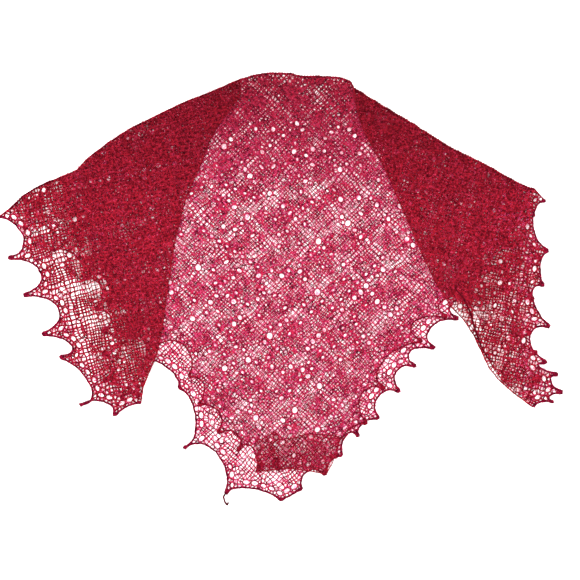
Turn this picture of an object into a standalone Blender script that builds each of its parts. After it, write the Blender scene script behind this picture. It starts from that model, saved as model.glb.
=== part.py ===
"""A square lace shawl, knitted in one fine yarn, folded on its diagonal and laid flat.

The square is folded into a triangle of two layers, and both wings are then folded over
at the shoulders, so that the wings are four layers deep. Each layer is a wall of its own.
The fold that joins two layers is a half-round roll along the edge of the upper one.
The centre of each layer and its knitted edging are two pieces with a seam between them.

Seen from above with the neck at the top, +X runs to the right, +Y towards the neck, +Z up.
Tables are in centimetres. Everything else is in metres.
"""

import math
from collections import namedtuple

import bmesh
import bpy
from mathutils import Vector
from mathutils.geometry import delaunay_2d_cdt, intersect_point_line

# Driving sizes
CM = 0.01
WALL = 0.0012            # thickness of the knitted cloth
SEAM_GAP = 0.0003        # clear width of a seam, and of a roll's end to the layer it meets
LAYER_GAP = 0.0004       # clear height between two layers
LAYER_RISE = WALL + LAYER_GAP
EDGING_DEPTH = 0.034     # from the foot of a bite to the seam
POINT_WIDTH = 0.005      # width of a scallop's blunt point
BITE_SPREAD = 0.42       # 0 is a pointed bite, 1 a square one
BITE_STEPS = 5           # spans along a bite
ROLL_STEPS = 6           # spans round a folded edge
ROLL_SETBACK = 0.007     # a roll ends this far short of a corner
GRID = 0.075             # spacing of the plain points inside a layer
FALL_MARGIN = 0.005      # from the points of the layers below to where a layer starts to fall
BODY_FALL = 0.024        # width of the slope off the two body layers
WING_FALL = 0.012        # width of the slope off the under wing
FAR = 2.0                # beyond every edge of the shawl
MERGE = 1e-7             # places closer than this are one
ON_FOLD = 2e-6           # places this close to a fold line are on it

# The four layers, from the bottom
BODY_UNDER, BODY_OVER, WING_UNDER, WING_OVER = range(4)

# Folds, run with the cloth on the left. A row for each place on the fold: x, y
NECK_FOLD = [
    (15.5, 41.4), (14.7, 42.8), (12.6, 43.7), (8.4, 43.9), (4.6, 43.9), (2.1, 44.5),
    (-2.1, 44.7), (-5.3, 44.1), (-8.4, 43.3),
]
LEFT_SHOULDER = [
    (-8.4, 43.3), (-14.3, 40.7), (-19.7, 38.6), (-25.2, 36.0), (-31.5, 32.9), (-35.7, 30.2),
    (-40.3, 26.7), (-42.6, 24.2), (-46.2, 22.7), (-50.4, 21.0), (-53.8, 18.9), (-56.7, 16.2),
]
RIGHT_SHOULDER = [
    (53.3, 20.2), (51.2, 20.8), (48.3, 22.3), (43.3, 25.2), (35.1, 29.2), (28.6, 33.4),
    (20.6, 38.2), (15.5, 41.4),
]
LEFT_WING_FOLD = [
    (-29.2, -24.4), (-28.8, -21.4), (-27.5, -18.1), (-25.8, -14.3), (-24.8, -9.2), (-23.9, -2.9),
    (-22.9, 3.8), (-22.1, 9.2), (-20.8, 14.7), (-19.3, 19.5), (-17.2, 24.2), (-15.5, 28.6),
    (-13.7, 32.6), (-11.3, 36.1), (-8.4, 39.7), (-8.4, 43.3),
]
RIGHT_WING_FOLD = [
    (15.5, 41.4), (16.0, 38.2), (17.2, 33.4), (18.9, 30.0), (21.0, 26.5), (23.1, 22.3),
    (24.8, 18.1), (27.5, 12.2), (30.2, 5.7), (32.8, 0.6), (35.7, -4.2), (38.4, -6.9),
    (40.7, -10.3), (42.4, -13.9), (43.9, -17.2), (46.2, -20.0), (49.4, -22.7), (53.1, -25.4),
]
# The lower half of the right wing's under layer is drawn in behind its fold
RIGHT_WING_FOLD_UNDER = RIGHT_WING_FOLD[:10] + [
    (36.8, -2.5), (39.9, -4.2), (41.8, -6.7), (42.8, -10.5), (43.5, -13.9), (44.5, -16.8),
    (46.6, -19.7), (49.4, -22.1), (51.9, -23.7),
]
TUCK_FOLD = [(-4.8, -38.9), (2.1, -38.2), (9.7, -39.3)]

# Scalloped edges, run with the cloth on the left. A row for each scallop: its point, and the
# foot of the bite that follows. The last row of an edge is its last point alone
Scallop = namedtuple("Scallop", "tip_x tip_y bite_x bite_y", defaults=(None, None))
BODY_UNDER_EDGE = [
    Scallop(-46.2, 22.7, -44.9, 19.5), Scallop(-45.4, 16.8, -42.8, 15.3),
    Scallop(-42.4, 9.7, -39.5, 9.0), Scallop(-40.3, 2.3, -36.5, 1.3),
    Scallop(-36.1, -4.2, -32.6, -4.4), Scallop(-32.1, -10.7, -29.0, -10.9),
    Scallop(-28.1, -15.5, -23.5, -17.2), Scallop(-21.0, -21.2, -17.6, -28.1),
    Scallop(-20.2, -34.0, -13.4, -34.9), Scallop(-11.3, -43.5, -6.3, -42.4),
    Scallop(0.2, -44.9, 2.7, -43.5), Scallop(4.4, -42.6, 5.7, -38.9),
    Scallop(9.5, -39.5, 10.3, -37.0), Scallop(12.8, -35.5, 13.9, -31.3),
    Scallop(16.4, -31.5, 17.2, -29.0), Scallop(20.6, -27.7, 20.6, -23.1),
    Scallop(25.0, -22.1, 24.4, -17.9), Scallop(28.4, -16.8, 27.3, -13.7),
    Scallop(32.3, -13.0, 31.5, -8.8), Scallop(37.2, -6.9, 36.1, -3.6),
    Scallop(41.8, -2.7, 40.5, 0.8), Scallop(45.6, 3.4, 44.5, 6.1),
    Scallop(49.4, 8.4, 48.1, 10.9), Scallop(52.3, 13.9, 51.2, 16.6), Scallop(52.4, 20.4),
]
BODY_OVER_LEFT_EDGE = [
    Scallop(-44.4, 23.4, -43.0, 19.7), Scallop(-42.8, 16.4, -40.3, 15.1),
    Scallop(-39.9, 9.7, -37.2, 9.0), Scallop(-37.2, 3.4, -34.2, 2.7),
    Scallop(-33.2, -2.9, -30.2, -3.2), Scallop(-29.8, -8.8, -27.3, -8.6),
    Scallop(-26.5, -12.8, -20.2, -12.4), Scallop(-18.9, -18.9, -16.0, -20.8),
    Scallop(-17.0, -24.8, -12.8, -26.5), Scallop(-13.0, -30.7, -9.0, -31.1),
    Scallop(-8.8, -34.4, -5.9, -33.8), Scallop(-4.8, -38.9),
]
BODY_OVER_RIGHT_EDGE = [
    Scallop(9.7, -39.3, 10.5, -36.5), Scallop(11.8, -35.9, 13.7, -30.9),
    Scallop(18.1, -28.8, 17.0, -22.9), Scallop(21.8, -21.4, 21.6, -15.8),
    Scallop(29.6, -11.6, 28.1, -7.6), Scallop(34.9, -6.5, 33.8, -3.2),
    Scallop(39.5, -2.1, 38.4, 1.3), Scallop(43.7, 3.8, 42.4, 6.5),
    Scallop(47.5, 9.0, 46.2, 11.6), Scallop(50.2, 14.7, 49.2, 17.2), Scallop(50.2, 21.3),
]
WING_LEFT_OVER_EDGE = [
    Scallop(-58.8, 14.6, -53.8, 10.1), Scallop(-56.9, 5.9, -50.2, 2.9),
    Scallop(-53.6, -1.9, -46.4, -4.8), Scallop(-49.8, -10.1, -43.7, -12.4),
    Scallop(-46.0, -14.9, -39.7, -21.0), Scallop(-42.0, -25.0, -37.0, -24.2),
    Scallop(-34.7, -27.1, -31.9, -25.2), Scallop(-29.2, -24.4),
]
WING_LEFT_UNDER_EDGE = [
    Scallop(-54.0, 18.7, -53.3, 15.8), Scallop(-53.8, 12.0, -48.9, 12.6),
    Scallop(-47.7, 7.6, -42.8, 6.3), Scallop(-41.2, 1.7, -37.4, -0.2),
    Scallop(-38.4, -4.8, -35.5, -6.5), Scallop(-37.2, -9.5, -34.0, -12.0),
    Scallop(-37.2, -14.3, -34.9, -16.8), Scallop(-37.0, -20.0, -33.8, -20.6),
    Scallop(-33.2, -23.7, -31.5, -22.6), Scallop(-29.6, -23.3),
]
WING_RIGHT_OVER_EDGE = [
    Scallop(53.1, -25.4, 55.2, -24.2), Scallop(57.3, -24.4, 56.5, -23.1),
    Scallop(59.2, -22.3, 56.7, -20.0), Scallop(58.2, -18.5, 54.4, -17.0),
    Scallop(55.7, -16.0, 52.3, -10.7), Scallop(56.5, -8.4, 52.9, -2.3),
    Scallop(55.2, 0.2, 54.6, 4.4), Scallop(56.1, 7.4, 52.9, 13.4), Scallop(55.7, 17.9),
]
WING_RIGHT_UNDER_EDGE = [
    Scallop(51.9, -23.7, 52.9, -21.4), Scallop(54.8, -19.3, 51.9, -16.4),
    Scallop(53.8, -13.9, 50.4, -11.8), Scallop(52.5, -9.9, 50.2, -4.4),
    Scallop(53.1, -2.7, 51.9, 3.2), Scallop(54.6, 5.9, 51.2, 12.0),
    Scallop(53.3, 14.9, 52.3, 17.2), Scallop(52.4, 20.3),
]
# The corner of the upper body layer, turned up: its free edge, from right to left
TUCK_EDGE = [
    Scallop(9.7, -39.3, 11.4, -36.0), Scallop(12.6, -31.9, 8.8, -31.1),
    Scallop(4.2, -31.3, 1.5, -31.9), Scallop(-1.1, -30.6, -3.0, -31.6),
    Scallop(-5.2, -32.5, -4.6, -35.6), Scallop(-4.8, -38.9),
]

TURNED_CORNER_FOOT = (2.4, -46.0)   # where the upper body layer's corner would reach

# Rows of large eyelets. Columns: layer, both ends of the row, how many
EyeletRow = namedtuple("EyeletRow", "layer x0 y0 x1 y1 count")
EYELET_ROWS = [
    EyeletRow(BODY_OVER, -16.0, 11.6, -4.6, 4.0, 8),
    EyeletRow(BODY_OVER, -15.4, 23.0, -5.4, 18.6, 6),
    EyeletRow(BODY_OVER, 11.0, -4.6, 21.6, 6.0, 7),
    EyeletRow(BODY_OVER, 3.2, 30.0, 5.2, 13.0, 6),
    EyeletRow(BODY_OVER, -14.0, 3.4, -2.0, -8.6, 6),
    EyeletRow(BODY_OVER, -18.0, -3.0, -5.0, -16.0, 6),
    EyeletRow(BODY_OVER, 2.0, -10.0, 13.4, 1.4, 6),
    EyeletRow(BODY_OVER, -2.4, -15.0, 6.6, -6.0, 6),
    EyeletRow(BODY_OVER, -13.6, -12.4, -4.0, -22.0, 6),
    EyeletRow(BODY_OVER, 2.0, -22.0, 16.0, -8.0, 7),
    EyeletRow(BODY_UNDER, -18.6, 19.4, -8.0, 26.0, 6),
    EyeletRow(BODY_UNDER, 6.0, -16.0, 18.0, -4.0, 6),
    EyeletRow(BODY_UNDER, -1.0, 14.0, 9.0, 4.0, 5),
    EyeletRow(WING_OVER, -36.0, 22.0, -28.0, 14.0, 5),
    EyeletRow(WING_OVER, -32.0, 6.0, -26.0, 0.0, 4),
    EyeletRow(WING_OVER, 31.0, 22.0, 40.0, 13.0, 5),
    EyeletRow(WING_OVER, 38.0, 6.0, 44.0, -8.0, 5),
]
EYELET_LENGTH = 0.0095
EYELET_WIDTH = 0.0070
EDGE_EYELET_LENGTH = 0.0135
EDGE_EYELET_WIDTH = 0.0085
EYELET_SIDES = 6
EYELET_CLEARANCE = 0.0028   # from an eyelet to any edge
EYELET_SPACING = 0.0165     # between the middles of two eyelets, at least
BITE_EYELET_INSET = 0.011   # from the foot of a bite to its eyelets
BITE_EYELET_SHIFT = 0.009   # of each to its side of the foot

# The knitted yarn, one material a layer. Columns: red, green, blue
YARN_COLOURS = {
    BODY_UNDER: (0.42, 0.020, 0.050), BODY_OVER: (0.46, 0.022, 0.055),
    WING_UNDER: (0.30, 0.008, 0.022), WING_OVER: (0.33, 0.010, 0.026),
}
YARN_ROUGHNESS = 0.85


def points(rows):
    """A table's x and y as plane vectors in metres."""
    return [Vector((x * CM, y * CM)) for x, y in rows]


def turned_left(vector):
    return Vector((-vector.y, vector.x))


def offset_line(line, distance):
    """The open line moved to its left by distance, with mitred corners."""
    moved = []
    last = len(line) - 1
    for i, place in enumerate(line):
        ahead = line[min(i + 1, last)] - line[min(i, last - 1)]
        behind = line[max(i, 1)] - line[max(i - 1, 0)]
        normal = turned_left(ahead.normalized())
        mitre = (turned_left(behind.normalized()) + normal).normalized()
        moved.append(place + mitre * (distance / max(mitre.dot(normal), 0.5)))
    return moved


def run_on(line, length):
    """The line made longer at both ends."""
    head = (line[0] - line[1]).normalized() * length
    tail = (line[-1] - line[-2]).normalized() * length
    return [line[0] + head] + line + [line[-1] + tail]


def left_side(line, distance=0.0):
    """The closed region to the left of a long line, with the line moved by distance."""
    line = offset_line(line, distance)
    away = turned_left((line[-1] - line[0]).normalized()) * FAR
    return line + [line[-1] + away, line[0] + away]


def inside(place, loop):
    """Whether the place lies inside the closed loop."""
    within = False
    for a, b in zip(loop, loop[1:] + loop[:1]):
        if (a.y > place.y) != (b.y > place.y):
            if place.x < a.x + (b.x - a.x) * (place.y - a.y) / (b.y - a.y):
                within = not within
    return within


def nearest_on(place, line):
    """Distance from the place to the open line, and how far along the line that is."""
    best = (FAR, 0.0)
    run = 0.0
    for a, b in zip(line, line[1:]):
        length = (b - a).length
        share = min(1.0, max(0.0, intersect_point_line(place, a, b)[1]))
        best = min(best, ((place - a.lerp(b, share)).length, run + share * length))
        run += length
    return best


def distance_to(place, line):
    return nearest_on(place, line)[0]


def middle_of(loop):
    return sum(loop, Vector((0, 0))) / len(loop)


def tips(edge):
    return points((row.tip_x, row.tip_y) for row in edge)


def feet(edge):
    return points((row.bite_x, row.bite_y) for row in edge[:-1])


def scalloped_line(edge):
    """The outer line of a scalloped edge: blunt points with a rounded bite between each two."""
    line = []
    tip_places = tips(edge)
    last = len(tip_places) - 1
    for i, foot in enumerate(feet(edge)):
        chord = tip_places[i + 1] - tip_places[i]
        blunt = chord.normalized() * (POINT_WIDTH / 2)
        start = tip_places[i] + (blunt if i > 0 else Vector((0, 0)))
        end = tip_places[i + 1] - (blunt if i + 1 < last else Vector((0, 0)))
        handle = (foot * 8 - start - end) / 6
        spread = chord * (BITE_SPREAD / 2)
        first, second = handle - spread, handle + spread
        for k in range(BITE_STEPS + 1):
            t = k / BITE_STEPS
            s = 1 - t
            line.append(start * s**3 + first * (3 * s * s * t) + second * (3 * s * t * t) + end * t**3)
    return line


def seam_line(*foot_runs):
    """Where the edging is knitted on: one edging depth inside the feet of the bites, eased."""
    line = []
    for run in foot_runs:
        inner = [(run[i - 1] + run[i] * 2 + run[i + 1]) / 4 for i in range(1, len(run) - 1)]
        line += run[:1] + inner + run[1:][-1:]
    return run_on(offset_line(line, EDGING_DEPTH), FAR / 2)


def eyelet(centre, along, length, width):
    """A six-sided opening, its length along the given direction."""
    along = along.normalized()
    across = turned_left(along)
    turns = [2 * math.pi * k / EYELET_SIDES for k in range(EYELET_SIDES)]
    return [
        centre + along * (math.cos(turn) * length / 2) + across * (math.sin(turn) * width / 2)
        for turn in turns
    ]


def edge_eyelets(edge):
    """The large openings of the edging: two behind each bite and one in each point."""
    found = []
    foot_places = feet(edge)
    tip_places = tips(edge)
    for i, foot in enumerate(foot_places):
        run = (tip_places[i + 1] - tip_places[i]).normalized()
        inward = turned_left(run)
        for shift in (-BITE_EYELET_SHIFT, BITE_EYELET_SHIFT):
            place = foot + inward * BITE_EYELET_INSET + run * shift
            found.append(eyelet(place, run, EDGE_EYELET_LENGTH, EDGE_EYELET_WIDTH))
        if i > 0:
            base = (foot_places[i - 1] + foot) / 2
            found.append(eyelet(base.lerp(tip_places[i], 0.2), inward, EDGE_EYELET_LENGTH, EDGE_EYELET_WIDTH))
    return found


def field_eyelets(layer):
    """The rows of large eyelets of one layer."""
    found = []
    for row in (r for r in EYELET_ROWS if r.layer == layer):
        start, end = points([(row.x0, row.y0), (row.x1, row.y1)])
        for k in range(row.count):
            place = start.lerp(end, k / (row.count - 1))
            found.append(eyelet(place, end - start, EYELET_LENGTH, EYELET_WIDTH))
    return found


class Fall:
    """A slope where an upper layer comes down past the edge of the layers below it."""

    def __init__(self, edge, drop, width):
        self.top = run_on(offset_line(tips(edge), -FALL_MARGIN), FAR / 2)
        self.foot = offset_line(self.top, -width)
        self.held = left_side(self.top)
        self.drop = drop
        self.width = width

    def depth(self, place):
        if inside(place, self.held):
            return 0.0
        return self.drop * min(1.0, distance_to(place, self.top) / self.width)


class Layer:
    """One layer of the laid shawl: its outline, level and slopes, and where its seam runs."""

    def __init__(self, level, outline, seam=None, falls=(), eyelets=()):
        self.level = level
        self.outline = outline
        self.seam = seam
        self.falls = falls
        self.eyelets = self.clear_of_edges(eyelets)
        self.rolls = []
        self.places, self.triangles = self.filled()

    def height(self, place):
        """Height of the middle of the wall."""
        top = WALL / 2 + self.level * LAYER_RISE
        return top - sum(fall.depth(place) for fall in self.falls)

    def edge_lines(self):
        closed = self.outline + self.outline[:1]
        return [closed, self.seam] if self.seam else [closed]

    def clear_of_edges(self, eyelets):
        """The eyelets that keep clear of each edge, and of each other."""
        kept = []
        for loop in eyelets:
            centre = middle_of(loop)
            if not all(inside(place, self.outline) for place in loop):
                continue
            if min(distance_to(p, line) for p in loop for line in self.edge_lines()) < EYELET_CLEARANCE:
                continue
            if all((middle_of(other) - centre).length > EYELET_SPACING for other in kept):
                kept.append(loop)
        return kept

    def plain_points(self):
        """Points on an even grid, clear of the edges and eyelets."""
        low_x, high_x = min(p.x for p in self.outline), max(p.x for p in self.outline)
        low_y, high_y = min(p.y for p in self.outline), max(p.y for p in self.outline)
        found = []
        for i in range(int((high_x - low_x) / GRID)):
            for j in range(int((high_y - low_y) / GRID)):
                place = Vector((low_x + (i + 0.25 + 0.5 * (j % 2)) * GRID, low_y + (j + 0.5) * GRID))
                if not inside(place, self.outline):
                    continue
                if min(distance_to(place, line) for line in self.edge_lines()) < GRID / 4:
                    continue
                if all((middle_of(loop) - place).length > EDGE_EYELET_LENGTH for loop in self.eyelets):
                    found.append(place)
        return found

    def filled(self):
        """The layer's plane net of triangles, with its seam, slopes and eyelets as edges."""
        places = list(self.outline)
        edges = []
        lines = [line for fall in self.falls for line in (fall.top, fall.foot)]
        if self.seam:
            lines += [offset_line(self.seam, SEAM_GAP / 2), offset_line(self.seam, -SEAM_GAP / 2)]
        for line in lines + [loop + loop[:1] for loop in self.eyelets]:
            first = len(places)
            places += line
            edges += [(first + i, first + i + 1) for i in range(len(line) - 1)]
        places += self.plain_points()
        net = delaunay_2d_cdt(places, edges, [tuple(range(len(self.outline)))], 1, MERGE)
        triangles = []
        for face in net[2]:
            middle = middle_of([net[0][i] for i in face])
            if inside(middle, self.outline) and not any(inside(middle, loop) for loop in self.eyelets):
                triangles.append((face, middle))
        return net[0], triangles

    def is_field(self, place):
        return not self.seam or inside(place, left_side(self.seam, SEAM_GAP / 2))

    def is_edging(self, place):
        return not inside(place, left_side(self.seam, -SEAM_GAP / 2))


def add_roll(surface, fold, layer, lower):
    """A half-round edge along the fold, from the layer's own height down to the layer below it."""
    chain = []
    for vertex in surface.verts:
        gap, run = nearest_on(vertex.co.xy, fold)
        if gap < ON_FOLD:
            chain.append((run, vertex))
    chain = [vertex for _, vertex in sorted(chain, key=lambda pair: pair[0])]
    if len(chain) < 2:
        return
    line = [vertex.co.xy for vertex in chain]
    columns = []
    for vertex, place, away in zip(chain, line, offset_line(line, -WALL)):
        outward = (away - place).normalized()
        top, low = layer.height(place), lower.height(place)
        centre, radius = (top + low) / 2, (top - low) / 2
        column = [vertex]
        for k in range(1, ROLL_STEPS + 1):
            turn = math.pi * k / ROLL_STEPS
            swung = place + outward * (radius * math.sin(turn))
            column.append(surface.verts.new((swung.x, swung.y, centre + radius * math.cos(turn))))
        columns.append(column)
    for left, right in zip(columns, columns[1:]):
        for k in range(ROLL_STEPS):
            surface.faces.new((left[k], left[k + 1], right[k + 1], right[k]))


def add_piece(collection, name, layer, wanted):
    """The part of a layer whose triangles are wanted, as a wall with its own material."""
    surface = bmesh.new()
    made = {}
    for face, middle in layer.triangles:
        if not wanted(middle):
            continue
        for index in face:
            if index not in made:
                place = layer.places[index]
                made[index] = surface.verts.new((place.x, place.y, layer.height(place)))
        surface.faces.new([made[index] for index in face])
    for fold, lower in layer.rolls:
        add_roll(surface, fold, layer, lower)
    bmesh.ops.recalc_face_normals(surface, faces=surface.faces)
    mesh = bpy.data.meshes.new(name)
    surface.to_mesh(mesh)
    surface.free()
    mesh.shade_smooth()
    mesh.set_sharp_from_angle(angle=math.radians(50))
    mesh.materials.append(yarn(name, YARN_COLOURS[layer.level]))
    piece = bpy.data.objects.new(name, mesh)
    collection.objects.link(piece)
    thicken = piece.modifiers.new("Wall", "SOLIDIFY")
    thicken.thickness = WALL
    thicken.offset = 0.0
    thicken.use_even_offset = True
    return piece


def yarn(name, colour):
    material = bpy.data.materials.new(name)
    material.use_nodes = True
    shader = material.node_tree.nodes["Principled BSDF"]
    shader.inputs["Base Color"].default_value = (*colour, 1.0)
    shader.inputs["Roughness"].default_value = YARN_ROUGHNESS
    shader.inputs["Metallic"].default_value = 0.0
    return material


def set_back(line):
    """The line with a place added just short of each end, where its roll stops."""
    start = line[0] + (line[1] - line[0]).normalized() * ROLL_SETBACK
    end = line[-1] + (line[-2] - line[-1]).normalized() * ROLL_SETBACK
    return [line[0], start] + line[1:-1] + [end, line[-1]]


def stretch(line, low_x, high_x):
    """The places of a fold line between two x."""
    return [place for place in line if low_x <= place.x <= high_x]


def body_outline(left_shoulder, right_shoulder, neck, lower_line, neck_inset):
    """Round a body layer: its shoulders, drawn in from the folds, its lower edge and its neck."""
    left_end, right_end = lower_line[0], lower_line[-1]
    left = stretch(left_shoulder, left_end.x + POINT_WIDTH, FAR) + [left_end]
    right = [right_end] + stretch(right_shoulder, -FAR, right_end.x - POINT_WIDTH)
    left = offset_line(left, SEAM_GAP)
    right = offset_line(right, SEAM_GAP)
    neck = offset_line(neck, neck_inset)
    return left[1:] + lower_line[1:-1] + right[:-1] + neck


def make_layers():
    """The layers with their folds. Every fold line runs with the cloth on its left."""
    neck = set_back(points(NECK_FOLD))
    left_shoulder = set_back(points(LEFT_SHOULDER))
    right_shoulder = set_back(points(RIGHT_SHOULDER))
    left_fold = set_back(points(LEFT_WING_FOLD))
    right_fold = set_back(points(RIGHT_WING_FOLD))
    right_fold_under = set_back(points(RIGHT_WING_FOLD_UNDER))
    tuck_fold = set_back(points(TUCK_FOLD))

    left_body_fall = Fall(BODY_UNDER_EDGE[:8], 2 * LAYER_RISE, BODY_FALL)
    right_body_fall = Fall(BODY_UNDER_EDGE[17:], 2 * LAYER_RISE, BODY_FALL)
    left_wing_fall = Fall(WING_LEFT_UNDER_EDGE, LAYER_RISE, WING_FALL)
    right_wing_fall = Fall(WING_RIGHT_UNDER_EDGE, LAYER_RISE, WING_FALL)

    layers = {}
    layers["body_under"] = Layer(
        BODY_UNDER,
        body_outline(left_shoulder, right_shoulder, neck, scalloped_line(BODY_UNDER_EDGE), SEAM_GAP),
        seam_line(feet(BODY_UNDER_EDGE)),
        eyelets=edge_eyelets(BODY_UNDER_EDGE) + field_eyelets(BODY_UNDER))
    over_line = (
        scalloped_line(BODY_OVER_LEFT_EDGE)
        + offset_line(tuck_fold, SEAM_GAP)[1:-1]
        + scalloped_line(BODY_OVER_RIGHT_EDGE))
    layers["body_over"] = Layer(
        BODY_OVER,
        body_outline(left_shoulder, right_shoulder, neck, over_line, 0.0),
        seam_line(feet(BODY_OVER_LEFT_EDGE), points([TURNED_CORNER_FOOT]), feet(BODY_OVER_RIGHT_EDGE)),
        eyelets=edge_eyelets(BODY_OVER_LEFT_EDGE) + edge_eyelets(BODY_OVER_RIGHT_EDGE)
        + field_eyelets(BODY_OVER))
    layers["turned_corner"] = Layer(
        WING_UNDER, tuck_fold + scalloped_line(TUCK_EDGE)[1:-1], eyelets=edge_eyelets(TUCK_EDGE))

    under_line = scalloped_line(WING_LEFT_UNDER_EDGE)
    layers["wing_left_under"] = Layer(
        WING_UNDER,
        stretch(left_shoulder, under_line[0].x, FAR) + under_line
        + offset_line(left_fold, SEAM_GAP)[2:-1],
        seam_line(feet(WING_LEFT_UNDER_EDGE)), [left_body_fall],
        edge_eyelets(WING_LEFT_UNDER_EDGE) + field_eyelets(WING_UNDER))
    layers["wing_left_over"] = Layer(
        WING_OVER, left_shoulder + scalloped_line(WING_LEFT_OVER_EDGE) + left_fold[1:-1],
        seam_line(feet(WING_LEFT_OVER_EDGE)), [left_body_fall, left_wing_fall],
        edge_eyelets(WING_LEFT_OVER_EDGE) + field_eyelets(WING_OVER))
    under_line = scalloped_line(WING_RIGHT_UNDER_EDGE)
    layers["wing_right_under"] = Layer(
        WING_UNDER,
        offset_line(right_fold_under, SEAM_GAP)[1:-1] + under_line
        + stretch(right_shoulder, -FAR, under_line[-1].x - ROLL_SETBACK),
        seam_line(feet(WING_RIGHT_UNDER_EDGE)), [right_body_fall],
        edge_eyelets(WING_RIGHT_UNDER_EDGE))
    layers["wing_right_over"] = Layer(
        WING_OVER, right_fold[:-1] + scalloped_line(WING_RIGHT_OVER_EDGE) + right_shoulder[:-1],
        seam_line(feet(WING_RIGHT_OVER_EDGE)), [right_body_fall, right_wing_fall],
        edge_eyelets(WING_RIGHT_OVER_EDGE) + field_eyelets(WING_OVER))

    left_stretch = stretch(left_shoulder[1:], tips(BODY_OVER_LEFT_EDGE)[0].x, FAR)
    right_stretch = stretch(right_shoulder[:-1], -FAR, tips(BODY_OVER_RIGHT_EDGE)[-1].x)
    for side, shoulder, fold in (("left", left_stretch, left_fold), ("right", right_stretch, right_fold)):
        under, over = layers[f"wing_{side}_under"], layers[f"wing_{side}_over"]
        under.rolls = [(shoulder, layers["body_over"])]
        over.rolls = [(shoulder, layers["body_under"]), (fold[1:-1], under)]
    layers["body_over"].rolls = [(neck[1:-1], layers["body_under"])]
    layers["turned_corner"].rolls = [(tuck_fold[1:-1], layers["body_over"])]
    return layers


def centre_on_origin(pieces):
    """Move the pieces so that the origin is under the middle of the whole."""
    bpy.context.view_layer.update()
    graph = bpy.context.evaluated_depsgraph_get()
    corners = [Vector(corner) for piece in pieces for corner in piece.evaluated_get(graph).bound_box]
    low_x, high_x = min(c.x for c in corners), max(c.x for c in corners)
    low_y, high_y = min(c.y for c in corners), max(c.y for c in corners)
    for piece in pieces:
        piece.location = (-(low_x + high_x) / 2, -(low_y + high_y) / 2, 0.0)


def main():
    for thing in list(bpy.data.objects):
        bpy.data.objects.remove(thing, do_unlink=True)
    collection = bpy.data.collections.new("lace_shawl")
    bpy.context.scene.collection.children.link(collection)
    pieces = []
    for name, layer in make_layers().items():
        pieces.append(add_piece(collection, name, layer, layer.is_field))
        if not layer.seam:
            continue
        if name == "body_over":
            middle = TURNED_CORNER_FOOT[0] * CM
            pieces.append(add_piece(
                collection, "edging_body_over_left", layer,
                lambda place: layer.is_edging(place) and place.x < middle))
            pieces.append(add_piece(
                collection, "edging_body_over_right", layer,
                lambda place: layer.is_edging(place) and place.x > middle))
        else:
            pieces.append(add_piece(collection, f"edging_{name}", layer, layer.is_edging))
    centre_on_origin(pieces)


main()
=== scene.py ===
"""The looks of a square lace shawl, folded on its diagonal and laid flat.

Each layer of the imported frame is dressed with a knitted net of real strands, a bound-off
cord along its scalloped edge, stitches round its folds and a halo of fine hairs.

Tables of places are in centimetres, in the drawing's own axes, and the chart of the lace is
in millimetres. Everything else is in metres.
"""

import math
from collections import namedtuple

import bmesh
import bpy
import numpy as np
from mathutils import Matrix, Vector
from mathutils.geometry import delaunay_2d_cdt

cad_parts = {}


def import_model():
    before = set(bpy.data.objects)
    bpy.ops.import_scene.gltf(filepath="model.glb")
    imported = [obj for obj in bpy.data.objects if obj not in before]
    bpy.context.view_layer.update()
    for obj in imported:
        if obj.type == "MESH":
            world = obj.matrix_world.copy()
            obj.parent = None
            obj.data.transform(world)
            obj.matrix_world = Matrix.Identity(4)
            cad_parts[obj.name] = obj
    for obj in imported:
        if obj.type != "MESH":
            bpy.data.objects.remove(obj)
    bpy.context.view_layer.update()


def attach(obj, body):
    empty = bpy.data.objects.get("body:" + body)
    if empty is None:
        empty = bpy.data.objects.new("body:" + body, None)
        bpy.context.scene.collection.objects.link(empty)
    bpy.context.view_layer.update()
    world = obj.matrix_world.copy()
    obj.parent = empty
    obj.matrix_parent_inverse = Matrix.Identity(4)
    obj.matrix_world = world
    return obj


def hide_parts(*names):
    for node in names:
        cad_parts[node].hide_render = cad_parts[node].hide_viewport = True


SEED = 7
CM = 0.01
MM = 0.001
FULL_TURN = 2 * math.pi

# The laid shawl, as the frame has it
SHIFT = np.array((-0.00168, 0.00014))   # the frame's origin, in the drawing's axes
LAYER_RISE = 0.0016
YARN_FLOOR = 0.0008      # middle of the lowest layer's yarn above the floor
EDGING_DEPTH = 0.034
POINT_WIDTH = 0.004
BITE_SPREAD = 0.76
BITE_STEPS = 16
FALL_MARGIN = 0.005
BODY_FALL = 0.024
WING_FALL = 0.012
SHOULDER_CLEARANCE = 0.007   # from the last point of a wing's lower layer to its fold
FAR = 2.0
MITRE_LIMIT = 0.5

BODY_UNDER, BODY_OVER, WING_UNDER, WING_OVER = range(4)

NECK_FOLD = [
    (15.5, 41.4), (14.7, 42.8), (12.6, 43.7), (8.4, 43.9), (4.6, 43.9), (2.1, 44.5),
    (-2.1, 44.7), (-5.3, 44.1), (-8.4, 43.3),
]
LEFT_SHOULDER = [
    (-8.4, 43.3), (-14.3, 40.7), (-19.7, 38.6), (-25.2, 36.0), (-31.5, 32.9), (-35.7, 30.2),
    (-40.3, 26.7), (-42.6, 24.2), (-46.2, 22.7), (-50.4, 21.0), (-53.8, 18.9), (-56.7, 16.2),
]
RIGHT_SHOULDER = [
    (53.3, 20.2), (51.2, 20.8), (48.3, 22.3), (43.3, 25.2), (35.1, 29.2), (28.6, 33.4),
    (20.6, 38.2), (15.5, 41.4),
]
LEFT_WING_FOLD = [
    (-29.2, -24.4), (-28.8, -21.4), (-27.5, -18.1), (-25.8, -14.3), (-24.8, -9.2), (-23.9, -2.9),
    (-22.9, 3.8), (-22.1, 9.2), (-20.8, 14.7), (-19.3, 19.5), (-17.2, 24.2), (-15.5, 28.6),
    (-13.7, 32.6), (-11.3, 36.1), (-8.4, 39.7), (-8.4, 43.3),
]
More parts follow.
